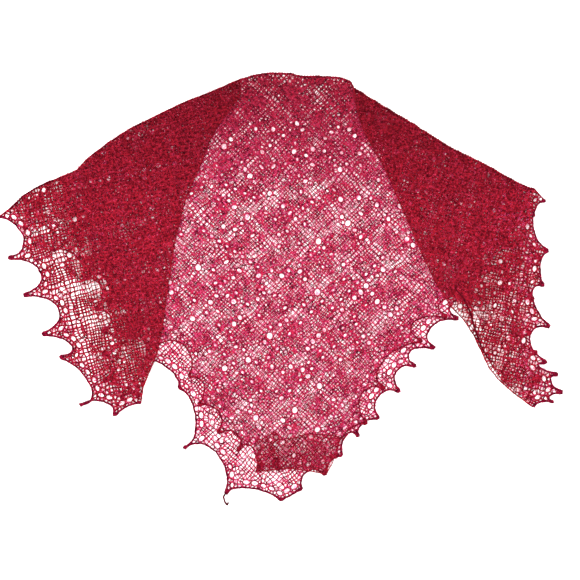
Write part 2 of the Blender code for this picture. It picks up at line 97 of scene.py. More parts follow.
RIGHT_WING_FOLD = [
    (15.5, 41.4), (16.0, 38.2), (17.2, 33.4), (18.9, 30.0), (21.0, 26.5), (23.1, 22.3),
    (24.8, 18.1), (27.5, 12.2), (30.2, 5.7), (32.8, 0.6), (35.7, -4.2), (38.4, -6.9),
    (40.7, -10.3), (42.4, -13.9), (43.9, -17.2), (46.2, -20.0), (49.4, -22.7), (53.1, -25.4),
]
RIGHT_WING_FOLD_UNDER = RIGHT_WING_FOLD[:10] + [
    (36.8, -2.5), (39.9, -4.2), (41.8, -6.7), (42.8, -10.5), (43.5, -13.9), (44.5, -16.8),
    (46.6, -19.7), (49.4, -22.1), (51.9, -23.7),
]
TUCK_FOLD = [(-4.8, -38.9), (2.1, -38.2), (9.7, -39.3)]

Scallop = namedtuple("Scallop", "tip_x tip_y bite_x bite_y", defaults=(None, None))


def scallops(*rows):
    return [Scallop(*row) for row in rows]


BODY_UNDER_EDGE = scallops(
    (-46.2, 22.7, -44.9, 19.5), (-45.4, 16.8, -42.8, 15.3),
    (-42.4, 9.7, -39.5, 9.0), (-40.3, 2.3, -36.5, 1.3),
    (-36.1, -4.2, -32.6, -4.4), (-32.1, -10.7, -29.0, -10.9),
    (-28.1, -15.5, -23.5, -17.2), (-21.0, -21.2, -17.6, -28.1),
    (-20.2, -34.0, -13.4, -34.9), (-11.3, -43.5, -6.3, -42.4),
    (0.2, -44.9, 2.7, -43.5), (4.4, -42.6, 5.7, -38.9),
    (9.5, -39.5, 10.3, -37.0), (12.8, -35.5, 13.9, -31.3),
    (16.4, -31.5, 17.2, -29.0), (20.6, -27.7, 20.6, -23.1),
    (25.0, -22.1, 24.4, -17.9), (28.4, -16.8, 27.3, -13.7),
    (32.3, -13.0, 31.5, -8.8), (37.2, -6.9, 36.1, -3.6),
    (41.8, -2.7, 40.5, 0.8), (45.6, 3.4, 44.5, 6.1),
    (49.4, 8.4, 48.1, 10.9), (52.3, 13.9, 51.2, 16.6), (52.4, 20.4),
)
BODY_OVER_LEFT_EDGE = scallops(
    (-44.4, 23.4, -43.0, 19.7), (-42.8, 16.4, -40.3, 15.1),
    (-39.9, 9.7, -37.2, 9.0), (-37.2, 3.4, -34.2, 2.7),
    (-33.2, -2.9, -30.2, -3.2), (-29.8, -8.8, -27.3, -8.6),
    (-26.5, -12.8, -20.2, -12.4), (-18.9, -18.9, -16.0, -20.8),
    (-17.0, -24.8, -12.8, -26.5), (-13.0, -30.7, -9.0, -31.1),
    (-8.8, -34.4, -5.9, -33.8), (-4.8, -38.9),
)
BODY_OVER_RIGHT_EDGE = scallops(
    (9.7, -39.3, 10.5, -36.5), (11.8, -35.9, 13.7, -30.9),
    (18.1, -28.8, 17.0, -22.9), (21.8, -21.4, 21.6, -15.8),
    (29.6, -11.6, 28.1, -7.6), (34.9, -6.5, 33.8, -3.2),
    (39.5, -2.1, 38.4, 1.3), (43.7, 3.8, 42.4, 6.5),
    (47.5, 9.0, 46.2, 11.6), (50.2, 14.7, 49.2, 17.2), (50.2, 21.3),
)
WING_LEFT_OVER_EDGE = scallops(
    (-58.8, 14.6, -53.8, 10.1), (-56.9, 5.9, -50.2, 2.9),
    (-53.6, -1.9, -46.4, -4.8), (-49.8, -10.1, -43.7, -12.4),
    (-46.0, -14.9, -39.7, -21.0), (-42.0, -25.0, -37.0, -24.2),
    (-34.7, -27.1, -31.9, -25.2), (-29.2, -24.4),
)
WING_LEFT_UNDER_EDGE = scallops(
    (-54.0, 18.7, -53.3, 15.8), (-53.8, 12.0, -48.9, 12.6),
    (-47.7, 7.6, -42.8, 6.3), (-41.2, 1.7, -37.4, -0.2),
    (-38.4, -4.8, -35.5, -6.5), (-37.2, -9.5, -34.0, -12.0),
    (-37.2, -14.3, -34.9, -16.8), (-37.0, -20.0, -33.8, -20.6),
    (-33.2, -23.7, -31.5, -22.6), (-29.6, -23.3),
)
WING_RIGHT_OVER_EDGE = scallops(
    (53.1, -25.4, 55.2, -24.2), (57.3, -24.4, 56.5, -23.1),
    (59.2, -22.3, 56.7, -20.0), (58.2, -18.5, 54.4, -17.0),
    (55.7, -16.0, 52.3, -10.7), (56.5, -8.4, 52.9, -2.3),
    (55.2, 0.2, 54.6, 4.4), (56.1, 7.4, 52.9, 13.4), (55.7, 17.9),
)
WING_RIGHT_UNDER_EDGE = scallops(
    (51.9, -23.7, 52.9, -21.4), (54.8, -19.3, 51.9, -16.4),
    (53.8, -13.9, 50.4, -11.8), (52.5, -9.9, 50.2, -4.4),
    (53.1, -2.7, 51.9, 3.2), (54.6, 5.9, 51.2, 12.0),
    (53.3, 14.9, 52.3, 17.2), (52.4, 20.3),
)
TUCK_EDGE = scallops(
    (9.7, -39.3, 11.4, -36.0), (12.6, -31.9, 8.8, -31.1),
    (4.2, -31.3, 1.5, -31.9), (-1.1, -30.6, -3.0, -31.6),
    (-5.2, -32.5, -4.6, -35.6), (-4.8, -38.9),
)
TURNED_CORNER_FOOT = (2.4, -46.0)

EyeletRow = namedtuple("EyeletRow", "layer x0 y0 x1 y1 count")
EYELET_ROWS = [EyeletRow(*row) for row in (
    (BODY_OVER, -16.0, 11.6, -4.6, 4.0, 8),
    (BODY_OVER, -15.4, 23.0, -5.4, 18.6, 6),
    (BODY_OVER, 11.0, -4.6, 21.6, 6.0, 7),
    (BODY_OVER, 3.2, 30.0, 5.2, 13.0, 6),
    (BODY_OVER, -14.0, 3.4, -2.0, -8.6, 6),
    (BODY_OVER, -18.0, -3.0, -5.0, -16.0, 6),
    (BODY_OVER, 2.0, -10.0, 13.4, 1.4, 6),
    (BODY_OVER, -2.4, -15.0, 6.6, -6.0, 6),
    (BODY_OVER, -13.6, -12.4, -4.0, -22.0, 6),
    (BODY_OVER, 2.0, -22.0, 16.0, -8.0, 7),
    (BODY_UNDER, -18.6, 19.4, -8.0, 26.0, 6),
    (BODY_UNDER, 6.0, -16.0, 18.0, -4.0, 6),
    (BODY_UNDER, -1.0, 14.0, 9.0, 4.0, 5),
    (WING_OVER, -36.0, 22.0, -28.0, 14.0, 5),
    (WING_OVER, -32.0, 6.0, -26.0, 0.0, 4),
    (WING_OVER, 31.0, 22.0, 40.0, 13.0, 5),
    (WING_OVER, 38.0, 6.0, 44.0, -8.0, 5),
)]
EYELET_RADII = (0.0048, 0.0037)         # along its row and across it
EDGE_EYELET_RADII = (0.0068, 0.0046)
EYELET_SIDES = 8
EYELET_CLEARANCE = 0.0028
EYELET_SPACING = 0.0165
BITE_EYELET_INSET = 0.011
BITE_EYELET_SHIFT = 0.009
POINT_EYELET_REACH = 0.2                # of the way from the bites' line to the point
SAME_SIZE = 0.0001

# What each layer is: its level and scalloped edges, what it lies on, how wide its yarn lies, the
# radius of its cord along a bite and how much more that is at a point, and a seed for its holes
Kind = namedtuple("Kind", "level edges rests_on fullness cord_radius point_swell hole_seed")
KINDS = {
    "body_under": Kind(BODY_UNDER, [BODY_UNDER_EDGE], "floor", 0.78, 0.0020, 0.0015, 1),
    "body_over": Kind(BODY_OVER, [BODY_OVER_LEFT_EDGE, BODY_OVER_RIGHT_EDGE], "knit_body_under",
                      0.76, 0.0016, 0.0019, 2),
    "turned_corner": Kind(WING_UNDER, [TUCK_EDGE], "knit_body_over", 0.55, 0.0008, 0.0004, 4),
    "wing_left_under": Kind(WING_UNDER, [WING_LEFT_UNDER_EDGE], "knit_body_over",
                            0.98, 0.0019, 0.0019, 5),
    "wing_left_over": Kind(WING_OVER, [WING_LEFT_OVER_EDGE], "knit_wing_left_under",
                           1.02, 0.0020, 0.0016, 6),
    "wing_right_under": Kind(WING_UNDER, [WING_RIGHT_UNDER_EDGE], "knit_body_over",
                             1.02, 0.0017, 0.0019, 7),
    "wing_right_over": Kind(WING_OVER, [WING_RIGHT_OVER_EDGE], "knit_wing_right_under",
                            1.04, 0.0020, 0.0016, 8),
}
OUTER_LAYERS = ("body_under", "wing_left_over", "wing_right_over")  # their edges lie on the floor
# The folds at the neck and the shoulders are drawn in the folds' yarn, painted darkest as shade
Fold = namedtuple("Fold", "name line low high radius yarn")
FOLDS = [
    Fold("neck", NECK_FOLD, "body_under", "body_over", 0.0025, "yarn_fold_shade"),
    Fold("shoulder_left", LEFT_SHOULDER, "body_under", "wing_left_over", 0.0019, "yarn_fold_shade"),
    Fold("shoulder_right", RIGHT_SHOULDER, "body_under", "wing_right_over", 0.0029, "yarn_fold_shade"),
    Fold("wing_left", LEFT_WING_FOLD, "wing_left_under", "wing_left_over", 0.0012, "yarn_wing_over"),
    Fold("wing_right", RIGHT_WING_FOLD, "wing_right_under", "wing_right_over", 0.0012, "yarn_wing_over"),
    Fold("tuck", TUCK_FOLD, "body_over", "turned_corner", 0.0012, "yarn_wing_under"),
]
CREASE = [(36.6, -0.4), (38.4, -2.6), (39.7, -5.2), (41.0, -9.4), (42.3, -13.0), (43.9, -15.6)]
# Places, sizes in metres, and turns
CORNER_KNOTS = [(-4.0, -37.9, 0.0075, 1.6), (-0.9, -36.9, 0.0105, 1.9), (-0.3, -38.3, 0.0060, 1.4)]
STRAY_END = [(-11.4, -43.4), (-11.9, -44.2), (-11.6, -45.3), (-11.1, -46.0), (-10.8, -45.4)]

# The knitted net
PITCH = 0.0066           # width of a stitch
JITTER = (0.13, 0.13, 0.09, 0.09)       # of a stitch, how far a knot strays at each level
Sway = namedtuple("Sway", "wave_x wave_y reach")
SWAYS = [Sway(0.07, 0.06, 0.0024), Sway(0.024, 0.026, 0.0009)]
STRAND_WIDTH = 0.0022
STRAND_HEIGHT = 0.0016
RING_MARGIN = 0.0014     # from an eyelet's cut to the middle of the yarn round it
FIELD_RING_MARGIN = 0.0026
EXTRA_HOLE_STEP = 0.0175 # between the larger holes along a scalloped edge
EXTRA_HOLE_INSET = 0.0100
EXTRA_HOLE_RADII = (0.0076, 0.0054)
EXTRA_HOLE_SIZES = (0.8, 1.15)
EXTRA_HOLE_SPACING = 0.0145
EXTRA_HOLE_CLEARANCE = 0.0018
EDGE_STEP = 0.0085       # between the knots on a scalloped edge
BITE_WANDER = 0.0012     # how unevenly the edge is drawn in, and over what length
BITE_WANDER_WAVE = 0.024
WANDER_SEED = 31
CLEAR_OF_EDGE = 0.55     # of a stitch, from a knot to the layer's edge, a seam or a larger hole
CLEAR_OF_SEAM = 0.40
CLEAR_OF_HOLE = 0.35
HOLE_REACH = 0.02        # no larger hole is wider than this
SEAM_RUN_ON = 0.4
SEAM_CLEAR_OF_EDGE = 0.3 # of a stitch
ANY_ANGLE = 3.14
DEEPEST_INSET = 0.8      # of the way to a hole's middle
RIPPLE_PARTS = 6
RIPPLE_SIZES = (0.7, 1.5)

# How wide the yarn lies, as shares of its plain width
PLAIN_SHARE = 1.04
Unevenness = namedtuple("Unevenness", "wave share")
OWN_UNEVENNESS = Unevenness(0.018, 0.13)
SHARED_UNEVENNESS = [Unevenness(0.034, 0.13), Unevenness(0.080, 0.19)]
SHARED_SEED = 41
RING_SWELL = 0.30
RING_SWELL_MARGIN = 0.001
LEAF_SWELL = 0.60
BAND_THINNING = 0.16
RIDGE_SWELL = 0.65
RIDGE_PATCHES = 0.09     # how long a ridge runs before it fades
RIDGE_SEED = 43
OUTER_EDGE_SWELL = {BODY_UNDER: 0.42, WING_OVER: 0.34}
OUTER_EDGE_REACH = 0.03
CREASE_SWELL = 0.8
CREASE_REACH = 0.005
Slope = namedtuple("Slope", "layers start length share")    # a negative length runs down
SLOPES = [
    Slope(("body_under", "body_over"), 0.17, 0.24, 0.78),
    Slope(("body_under", "body_over"), -0.27, -0.04, -0.18),
    Slope(("wing_right_under", "wing_right_over"), 0.06, -0.12, -0.20),
]
CORNER_FADE = Slope(("turned_corner",), -0.325, -0.03, 0.5)
SHARE_LIMITS = (0.5, 2.1)

# One repeat of the lace, charted in millimetres from its middle: rows of holes that
# run down both ways from a peak, slits beside a leaf, and a small triangle of holes.
REPEAT = 0.100
REPEAT_MIDDLE = (0.030, 0.0)
ChartHole = namedtuple("ChartHole", "across up long wide slant")     # radii, and degrees
CHART_HOLES = [
    ChartHole(0, 44, 7.8, 7.2, 0),
    ChartHole(12.5, 31.5, 7.6, 6.4, 45), ChartHole(-12.5, 31.5, 7.6, 6.4, -45),
    ChartHole(25, 19, 7.6, 6.8, 45), ChartHole(-25, 19, 7.6, 6.8, -45),
    ChartHole(37.5, 6.5, 7.2, 6.2, 45), ChartHole(-37.5, 6.5, 7.2, 6.2, -45),
    ChartHole(11, 2, 7.8, 5.0, 50), ChartHole(-11, 2, 7.8, 5.0, -50),
    ChartHole(0, -20, 7.4, 6.6, 0),
]
ChartLeaf = namedtuple("ChartLeaf", "across up breadth length")
CHART_LEAVES = [ChartLeaf(0, 6, 11, 26), ChartLeaf(26, -22, 9, 20), ChartLeaf(-26, -22, 9, 20)]
CHART_SPAN = 1.6
ROW_LEVEL = 8            # holes above this one are in the rows, the others beside them
HOLE_STRAY = 0.0008
HOLE_TURN = 14           # degrees
ROWS_LEFT_OUT = 0.40     # share of the rows, and of the holes elsewhere and in a row
OTHERS_LEFT_OUT = 0.80
HOLES_LEFT_OUT = 0.06
HOLE_SIZES = (0.70, 1.05)
LEAF_BOLDNESS = (0.3, 1.2)
LEAF_REACH = 3           # of a leaf's half length, beyond which it isn't seen
CHART_SPACING = 0.0162
CHART_CLEARANCE = 0.0035
CHART_BEND = 0.006       # how far the chart's lines wander, and over what length
CHART_BEND_WAVE = 0.17
CHART_TOP = 0.35         # the plain knitting at the neck begins here
BAND_OFFSET = 0.0311     # the open bands that the rows of holes lie in
BAND_WIDTH = 0.0085
BAND_OPENING = (0.0026, 0.0008)     # how far the knots stand aside there, and at half the gap
RIDGE_OFFSET = 0.0125
RIDGE_WIDTH = 0.0034
LAYER_STRAY = 0.0016     # about as far as the same hole strays between two layers

# Cords
CORD_STEP = 0.004
CORD_STRAY = 0.00025
CORD_UNEVENNESS = 0.00016
CORD_SIDES = 6
CORD_FLATNESS = 0.65
POINT_REACH = 0.010
CURL_PIECES = 22
CURL_WOUND_IN = 0.7
CURL_BREADTH = 0.7
CURL_RISE = 0.0012
CURL_RADII = (0.0015, 0.0004)
FOLD_STEP = 0.003        # half a stitch round a fold
FOLD_WANDER = 0.0007
FOLD_WANDER_WAVE = 0.022
FOLD_BUMP = 0.20
FOLD_UNEVENNESS = Unevenness(0.03, 0.16)
FOLD_SEED = 51
FOLD_PROUD = 0.0005
CREASE_RADII = (0.0013, 0.0008)
CREASE_FLATNESS = 0.6
CREASE_LIFT = 0.0008
STRAY_STEP = 0.002
STRAY_RADIUS = 0.0019

# The halo
HAIRS_PER_SQUARE_METRE = 40000
HAIR_LENGTH = (0.007, 0.019)
HAIR_WIDTH = 0.00058
HAIR_LIFT = (-0.0006, 0.0016)
LOWEST_TIP = 0.0002
NECK_HAIRS_FROM = 0.22
NECK_HAIRS_PER_SQUARE_METRE = 26000
# Folds with hairs along them
RIM_FOLDS = {"body_under": NECK_FOLD, "wing_left_over": LEFT_SHOULDER, "wing_right_over": RIGHT_SHOULDER}
EDGE_HAIR_STEP = 0.0022
EDGE_HAIR_LENGTH = (0.3, 0.9)           # of the shortest of the others
EDGE_HAIR_LIFT = (-0.0006, 0.0010)
HAZE_STEP = 0.00028
HAZE_REACH = 0.038
HAZE_LIFT = (-0.0006, 0.0012)

# Yarns
SLOTS = ("yarn_body_under", "yarn_body_over", "yarn_wing_under", "yarn_wing_over")
# Painted shade of the bunched cloth at the neck fold: the yarn's colour is multiplied by these, more and
# more between the two heights below, up the drawing's y axis
BODY_NECK_SHADE, WING_NECK_SHADE = (0.52, 0.46, 0.40), (0.56, 0.50, 0.50)
RAMP_STOPS = (0.35, 0.65)
NECK_SHADE_FROM = 0.14
NECK_SHADE_TO = 0.44
Yarn = namedtuple("Yarn", "dark light sheen at_neck", defaults=(None,))
# The same yarn in lit and shaded copies: each upper layer's yarn is painted a little lighter than the one
# under it, and the wings' yarns, where four layers lie on each other, are painted darker as shade
YARNS = {
    "yarn_body_under": Yarn((0.033, 0.002, 0.007), (0.41, 0.014, 0.048), 0.05, BODY_NECK_SHADE),
    "yarn_body_over": Yarn((0.036, 0.002, 0.008), (0.45, 0.016, 0.053), 0.05, BODY_NECK_SHADE),
    "yarn_wing_under": Yarn((0.040, 0.001, 0.003), (0.265, 0.006, 0.014), 0.05, WING_NECK_SHADE),
    "yarn_wing_over": Yarn((0.044, 0.001, 0.003), (0.275, 0.007, 0.018), 0.05, WING_NECK_SHADE),
    "yarn_outer_edge": Yarn((0.025, 0.001, 0.005), (0.19, 0.003, 0.020), 0.05),
    "yarn_inner_edge": Yarn((0.035, 0.001, 0.004), (0.22, 0.004, 0.016), 0.05),
    # The folds' yarn, painted darkest as the shade in the folds and the crease; the loose end is drawn in
    # it too
    "yarn_fold_shade": Yarn((0.020, 0.0005, 0.002), (0.11, 0.002, 0.008), 0.05),
    # The halos' hairs are paler and pinker than the yarn: partly their own colour as fine fibres, partly
    # painted light shining through them. The wings' halo is a darker copy, painted shade where the wings
    # lie four deep
    "yarn_halo": Yarn((0.82, 0.045, 0.19), (0.98, 0.180, 0.48), 0.1, (0.56, 0.32, 0.24)),
    "yarn_wing_halo": Yarn((0.55, 0.014, 0.045), (0.90, 0.060, 0.16), 0.1, (0.60, 0.50, 0.45)),
}
FLOOR_DROP = 0.0003


# Plane geometry, on arrays of points

def points(rows):
    return np.array([(row[0], row[1]) for row in rows]) * CM


def unit(vectors):
    return vectors / np.maximum(np.linalg.norm(vectors, axis=-1, keepdims=True), 1e-12)


def left_of(vectors):
    return np.stack((-vectors[..., 1], vectors[..., 0]), -1)


def turned_axes(turn):
    """The two directions of a square so turned, as rows."""
    c, s = math.cos(turn), math.sin(turn)
    return np.array(((c, s), (-s, c)))


def offset_line(line, distance):
    """The open line moved to its left, with mitred corners."""
    steps = unit(np.diff(line, axis=0))
    ahead = np.vstack((steps, steps[-1:]))
    behind = np.vstack((steps[:1], steps))
    normal = left_of(ahead)
    mitre = unit(left_of(behind) + normal)
    reach = distance / np.maximum((mitre * normal).sum(1), MITRE_LIMIT)
    return line + mitre * reach[:, None]


def run_on(line, length):
    head = unit(line[0] - line[1]) * length
    tail = unit(line[-1] - line[-2]) * length
    return np.vstack((line[0] + head, line, line[-1] + tail))


def cross_area(loop):
    x, y = loop.T
    return 0.5 * (x @ np.roll(y, -1) - y @ np.roll(x, -1))


def left_side(line):
    away = left_of(unit(line[-1] - line[0])) * FAR
    return np.vstack((line, line[-1] + away, line[0] + away))


def inside(places, loop):
    """Which places lie inside the closed loop."""
    x, y = places[:, 0], places[:, 1]
    within = np.zeros(len(places), bool)
    for a, b in zip(loop, np.roll(loop, -1, 0)):
        if a[1] == b[1]:
            continue
        crosses = (a[1] > y) != (b[1] > y)
        within ^= crosses & (x < a[0] + (b[0] - a[0]) * (y - a[1]) / (b[1] - a[1]))
    return within


def distance_to(places, line):
    """Distance from each place to the open line."""
    best = np.full(len(places), FAR * 2)
    for a, b in zip(line[:-1], line[1:]):
        step = b - a
        length = np.hypot(*step)
        share = np.clip((places - a) @ step / max(length * length, 1e-18), 0, 1)
        best = np.minimum(best, np.hypot(*(places - a - share[:, None] * step).T))
    return best


def along(line, runs):
    """The places that far along the line."""
    steps = np.hypot(*np.diff(line, axis=0).T)
    at = np.concatenate(([0], np.cumsum(steps)))
    return np.stack((np.interp(runs, at, line[:, 0]), np.interp(runs, at, line[:, 1])), -1)


def length_of(line):
    return np.hypot(*np.diff(line, axis=0).T).sum()


def resampled(line, step):
    count = max(1, round(length_of(line) / step))
    return along(line, np.linspace(0, length_of(line), count + 1))


def tips(edge):
    return points([(row.tip_x, row.tip_y) for row in edge])


def feet(edge):
    return points([(row.bite_x, row.bite_y) for row in edge[:-1]])


def bites(edge):
    """The scalloped edge as separate lines: each bite, and each blunt point between two."""
    lines = []
    tip_places = tips(edge)
    last = len(tip_places) - 1
    t = np.linspace(0, 1, BITE_STEPS + 1)[:, None]
    s = 1 - t
    for i, foot in enumerate(feet(edge)):
        chord = tip_places[i + 1] - tip_places[i]
        blunt = unit(chord) * (POINT_WIDTH / 2)
        start = tip_places[i] + (blunt if i > 0 else 0)
        end = tip_places[i + 1] - (blunt if i + 1 < last else 0)
        handle = (foot * 8 - start - end) / 6
        spread = chord * (BITE_SPREAD / 2)
        if lines:
            lines.append(np.array((lines[-1][-1], start)))
        line = (start * s**3 + (handle - spread) * (3 * s * s * t)
                + (handle + spread) * (3 * s * t * t) + end * t**3)
        lines.append(line + wander(line, BITE_WANDER_WAVE, BITE_WANDER) * (4 * s * t))
    return lines


def seam_line(*foot_runs):
    line = []
    for run in foot_runs:
        inner = [(run[i - 1] + run[i] * 2 + run[i + 1]) / 4 for i in range(1, len(run) - 1)]
        line += [run[0]] + inner + list(run[1:][-1:])
    return run_on(offset_line(np.array(line), EDGING_DEPTH), FAR / 2)


def ring(centre, direction, radii):
    """A rounded opening, its length along the direction."""
    direction = unit(direction)
    turns = np.arange(EYELET_SIDES) * (FULL_TURN / EYELET_SIDES)
    return (centre + np.outer(np.cos(turns) * radii[0], direction)
            + np.outer(np.sin(turns) * radii[1], left_of(direction)))


def edge_eyelets(edge):
    found = []
    foot_places = feet(edge)
    tip_places = tips(edge)
    for i, foot in enumerate(foot_places):
        run = unit(tip_places[i + 1] - tip_places[i])
        inward = left_of(run)
        for shift in (-BITE_EYELET_SHIFT, BITE_EYELET_SHIFT):
            found.append(ring(foot + inward * BITE_EYELET_INSET + run * shift, run, EDGE_EYELET_RADII))
        if i > 0:
            base = (foot_places[i - 1] + foot) / 2
            spot = base * (1 - POINT_EYELET_REACH) + tip_places[i] * POINT_EYELET_REACH
            found.append(ring(spot, inward, EDGE_EYELET_RADII))
    return found


def widened(loop):
    """The yarn's line round an eyelet's cut."""
    away = loop - loop.mean(0)
    small = np.hypot(*away.T).max() < EYELET_RADII[0] + SAME_SIZE
    return loop + unit(away) * (FIELD_RING_MARGIN if small else RING_MARGIN)


def extra_holes(edge, seed):
    """Larger holes along a scalloped edge, uneven in size."""
    rng = np.random.default_rng(SEED + seed)
    found = []
    for line in bites(edge):
        if length_of(line) < EXTRA_HOLE_STEP:
            continue
        middle = offset_line(resampled(line, EXTRA_HOLE_STEP / 2), EXTRA_HOLE_INSET)[1::2]
        for centre, run in zip(middle, unit(np.gradient(middle, axis=0)) if len(middle) > 1
                               else [unit(line[-1] - line[0])]):
            size = rng.uniform(*EXTRA_HOLE_SIZES)
            found.append(ring(centre, run, [radius * size for radius in EXTRA_HOLE_RADII]))
    return found


def wander(places, wave, reach):
    """A smooth push aside, that far at the most or so."""
    return np.stack([ripple(places, wave, WANDER_SEED + axis) for axis in (0, 1)], -1) * reach


def band_phases(places, turn):
    """Where each place lies between the bands of holes, both ways: 0 in the middle of one."""
    local = places - wander(places, CHART_BEND_WAVE, CHART_BEND) - REPEAT_MIDDLE
    ways = turned_axes(turn)
    return ways, (local @ ways.T - BAND_OFFSET) * (FULL_TURN * math.sqrt(2) / REPEAT)


def band_share(places, turn):
    """How much wider the yarn lies: less in the bands of holes, more in a ridge beside them."""
    off = np.arccos(np.cos(band_phases(places, turn)[1])) * (REPEAT / math.sqrt(2) / FULL_TURN)
    opened = np.exp(-(off / BAND_WIDTH) ** 2).max(1)
    ridge = np.exp(-((off - RIDGE_OFFSET) / RIDGE_WIDTH) ** 2).max(1)
    here = np.clip(ripple(places, RIDGE_PATCHES, RIDGE_SEED) + 0.5, 0, 1)
    return RIDGE_SWELL * ridge * here - BAND_THINNING * opened


def opened_up(places, turn):
    """The places drawn apart in the bands, and closer together between them."""
    ways, phases = band_phases(places, turn)
    return places + (np.sin(phases) * BAND_OPENING[0] + np.sin(2 * phases) * BAND_OPENING[1]) @ ways


def chart(turn, seed):
    """The chart's holes as loops, and its leaves as rows of numbers, over any layer so turned."""
    rng = np.random.default_rng(SEED * 100 + seed)
    lean = turn - math.pi / 4
    turned = turned_axes(lean)
    steps = range(-int(CHART_SPAN / REPEAT), int(CHART_SPAN / REPEAT) + 1)
    holes, leaves = [], []
    for i, j in ((i, j) for i in steps for j in steps if (i + j) % 2 == 0):
        middle = np.array((i, j)) * (REPEAT / 2)
        row_left_out = rng.random(3) < ROWS_LEFT_OUT
        for hole in CHART_HOLES:
            spot = middle + np.array((hole.across, hole.up)) * MM + rng.normal(0, HOLE_STRAY, 2)
            size = rng.uniform(*HOLE_SIZES) * MM
            way = lean + math.radians(90 - hole.slant + rng.normal(0, HOLE_TURN))
            left_out = OTHERS_LEFT_OUT
            if hole.up > ROW_LEVEL:
                left_out = 1.0 if row_left_out[int(np.sign(hole.across))] else HOLES_LEFT_OUT
            if rng.random() > left_out:
                holes.append(ring(spot @ turned + REPEAT_MIDDLE, turned_axes(way)[0],
                                  (hole.long * size, hole.wide * size)))
        for leaf in CHART_LEAVES:
            spot = (middle + np.array((leaf.across, leaf.up)) * MM) @ turned + REPEAT_MIDDLE
            slant = math.copysign(math.pi / 4, leaf.across) if leaf.across else 0.0
            leaves.append((*spot, leaf.breadth * MM / 2, leaf.length * MM / 2, lean - slant,
                           rng.uniform(*LEAF_BOLDNESS)))
    leaves = np.array(leaves)
    leaves[:, :2] += wander(leaves[:, :2], CHART_BEND_WAVE, CHART_BEND)
    middles = np.array([loop.mean(0) for loop in holes])
    moves = wander(middles, CHART_BEND_WAVE, CHART_BEND)
    return [loop + move for loop, move in zip(holes, moves)], leaves


def field_eyelets(layer):
    found = []
    for row in (r for r in EYELET_ROWS if r.layer == layer):
        start, end = points([(row.x0, row.y0), (row.x1, row.y1)])
        for k in range(row.count):
            found.append(ring(start + (end - start) * (k / (row.count - 1)), end - start, EYELET_RADII))
    return found


def rise(places, slope):
    """0 before the slope's start, up to 1 at its end."""
    return np.clip((places[:, 1] - slope.start) / slope.length, 0, 1)


def ripple(places, wave, seed):
    """A smooth plane field of about -1 to 1, its ripples that far apart."""
    rng = np.random.default_rng(SEED * 1000 + seed)
    total = np.zeros(len(places))
    for _ in range(RIPPLE_PARTS):
        turn = rng.uniform(0, FULL_TURN)
        size = FULL_TURN / (wave * rng.uniform(*RIPPLE_SIZES))
        total += np.sin(places @ (np.cos(turn) * size, np.sin(turn) * size) + rng.uniform(0, 6.3))
    return total / (RIPPLE_PARTS / 2)


def uneven(places, row, seed):
    """How much wider or narrower the yarn lies at each place."""
    return row.share * ripple(places, row.wave, seed)


class Fall:
    """A slope where an upper layer comes down past the edge of the layers below it."""

    def __init__(self, edge, drop, width):
        self.top = run_on(offset_line(tips(edge), -FALL_MARGIN), FAR / 2)
        self.held = left_side(self.top)
        self.drop = drop
        self.width = width

    def depth(self, places):
        depth = self.drop * np.minimum(1.0, distance_to(places, self.top) / self.width)
        return np.where(inside(places, self.held), 0.0, depth)


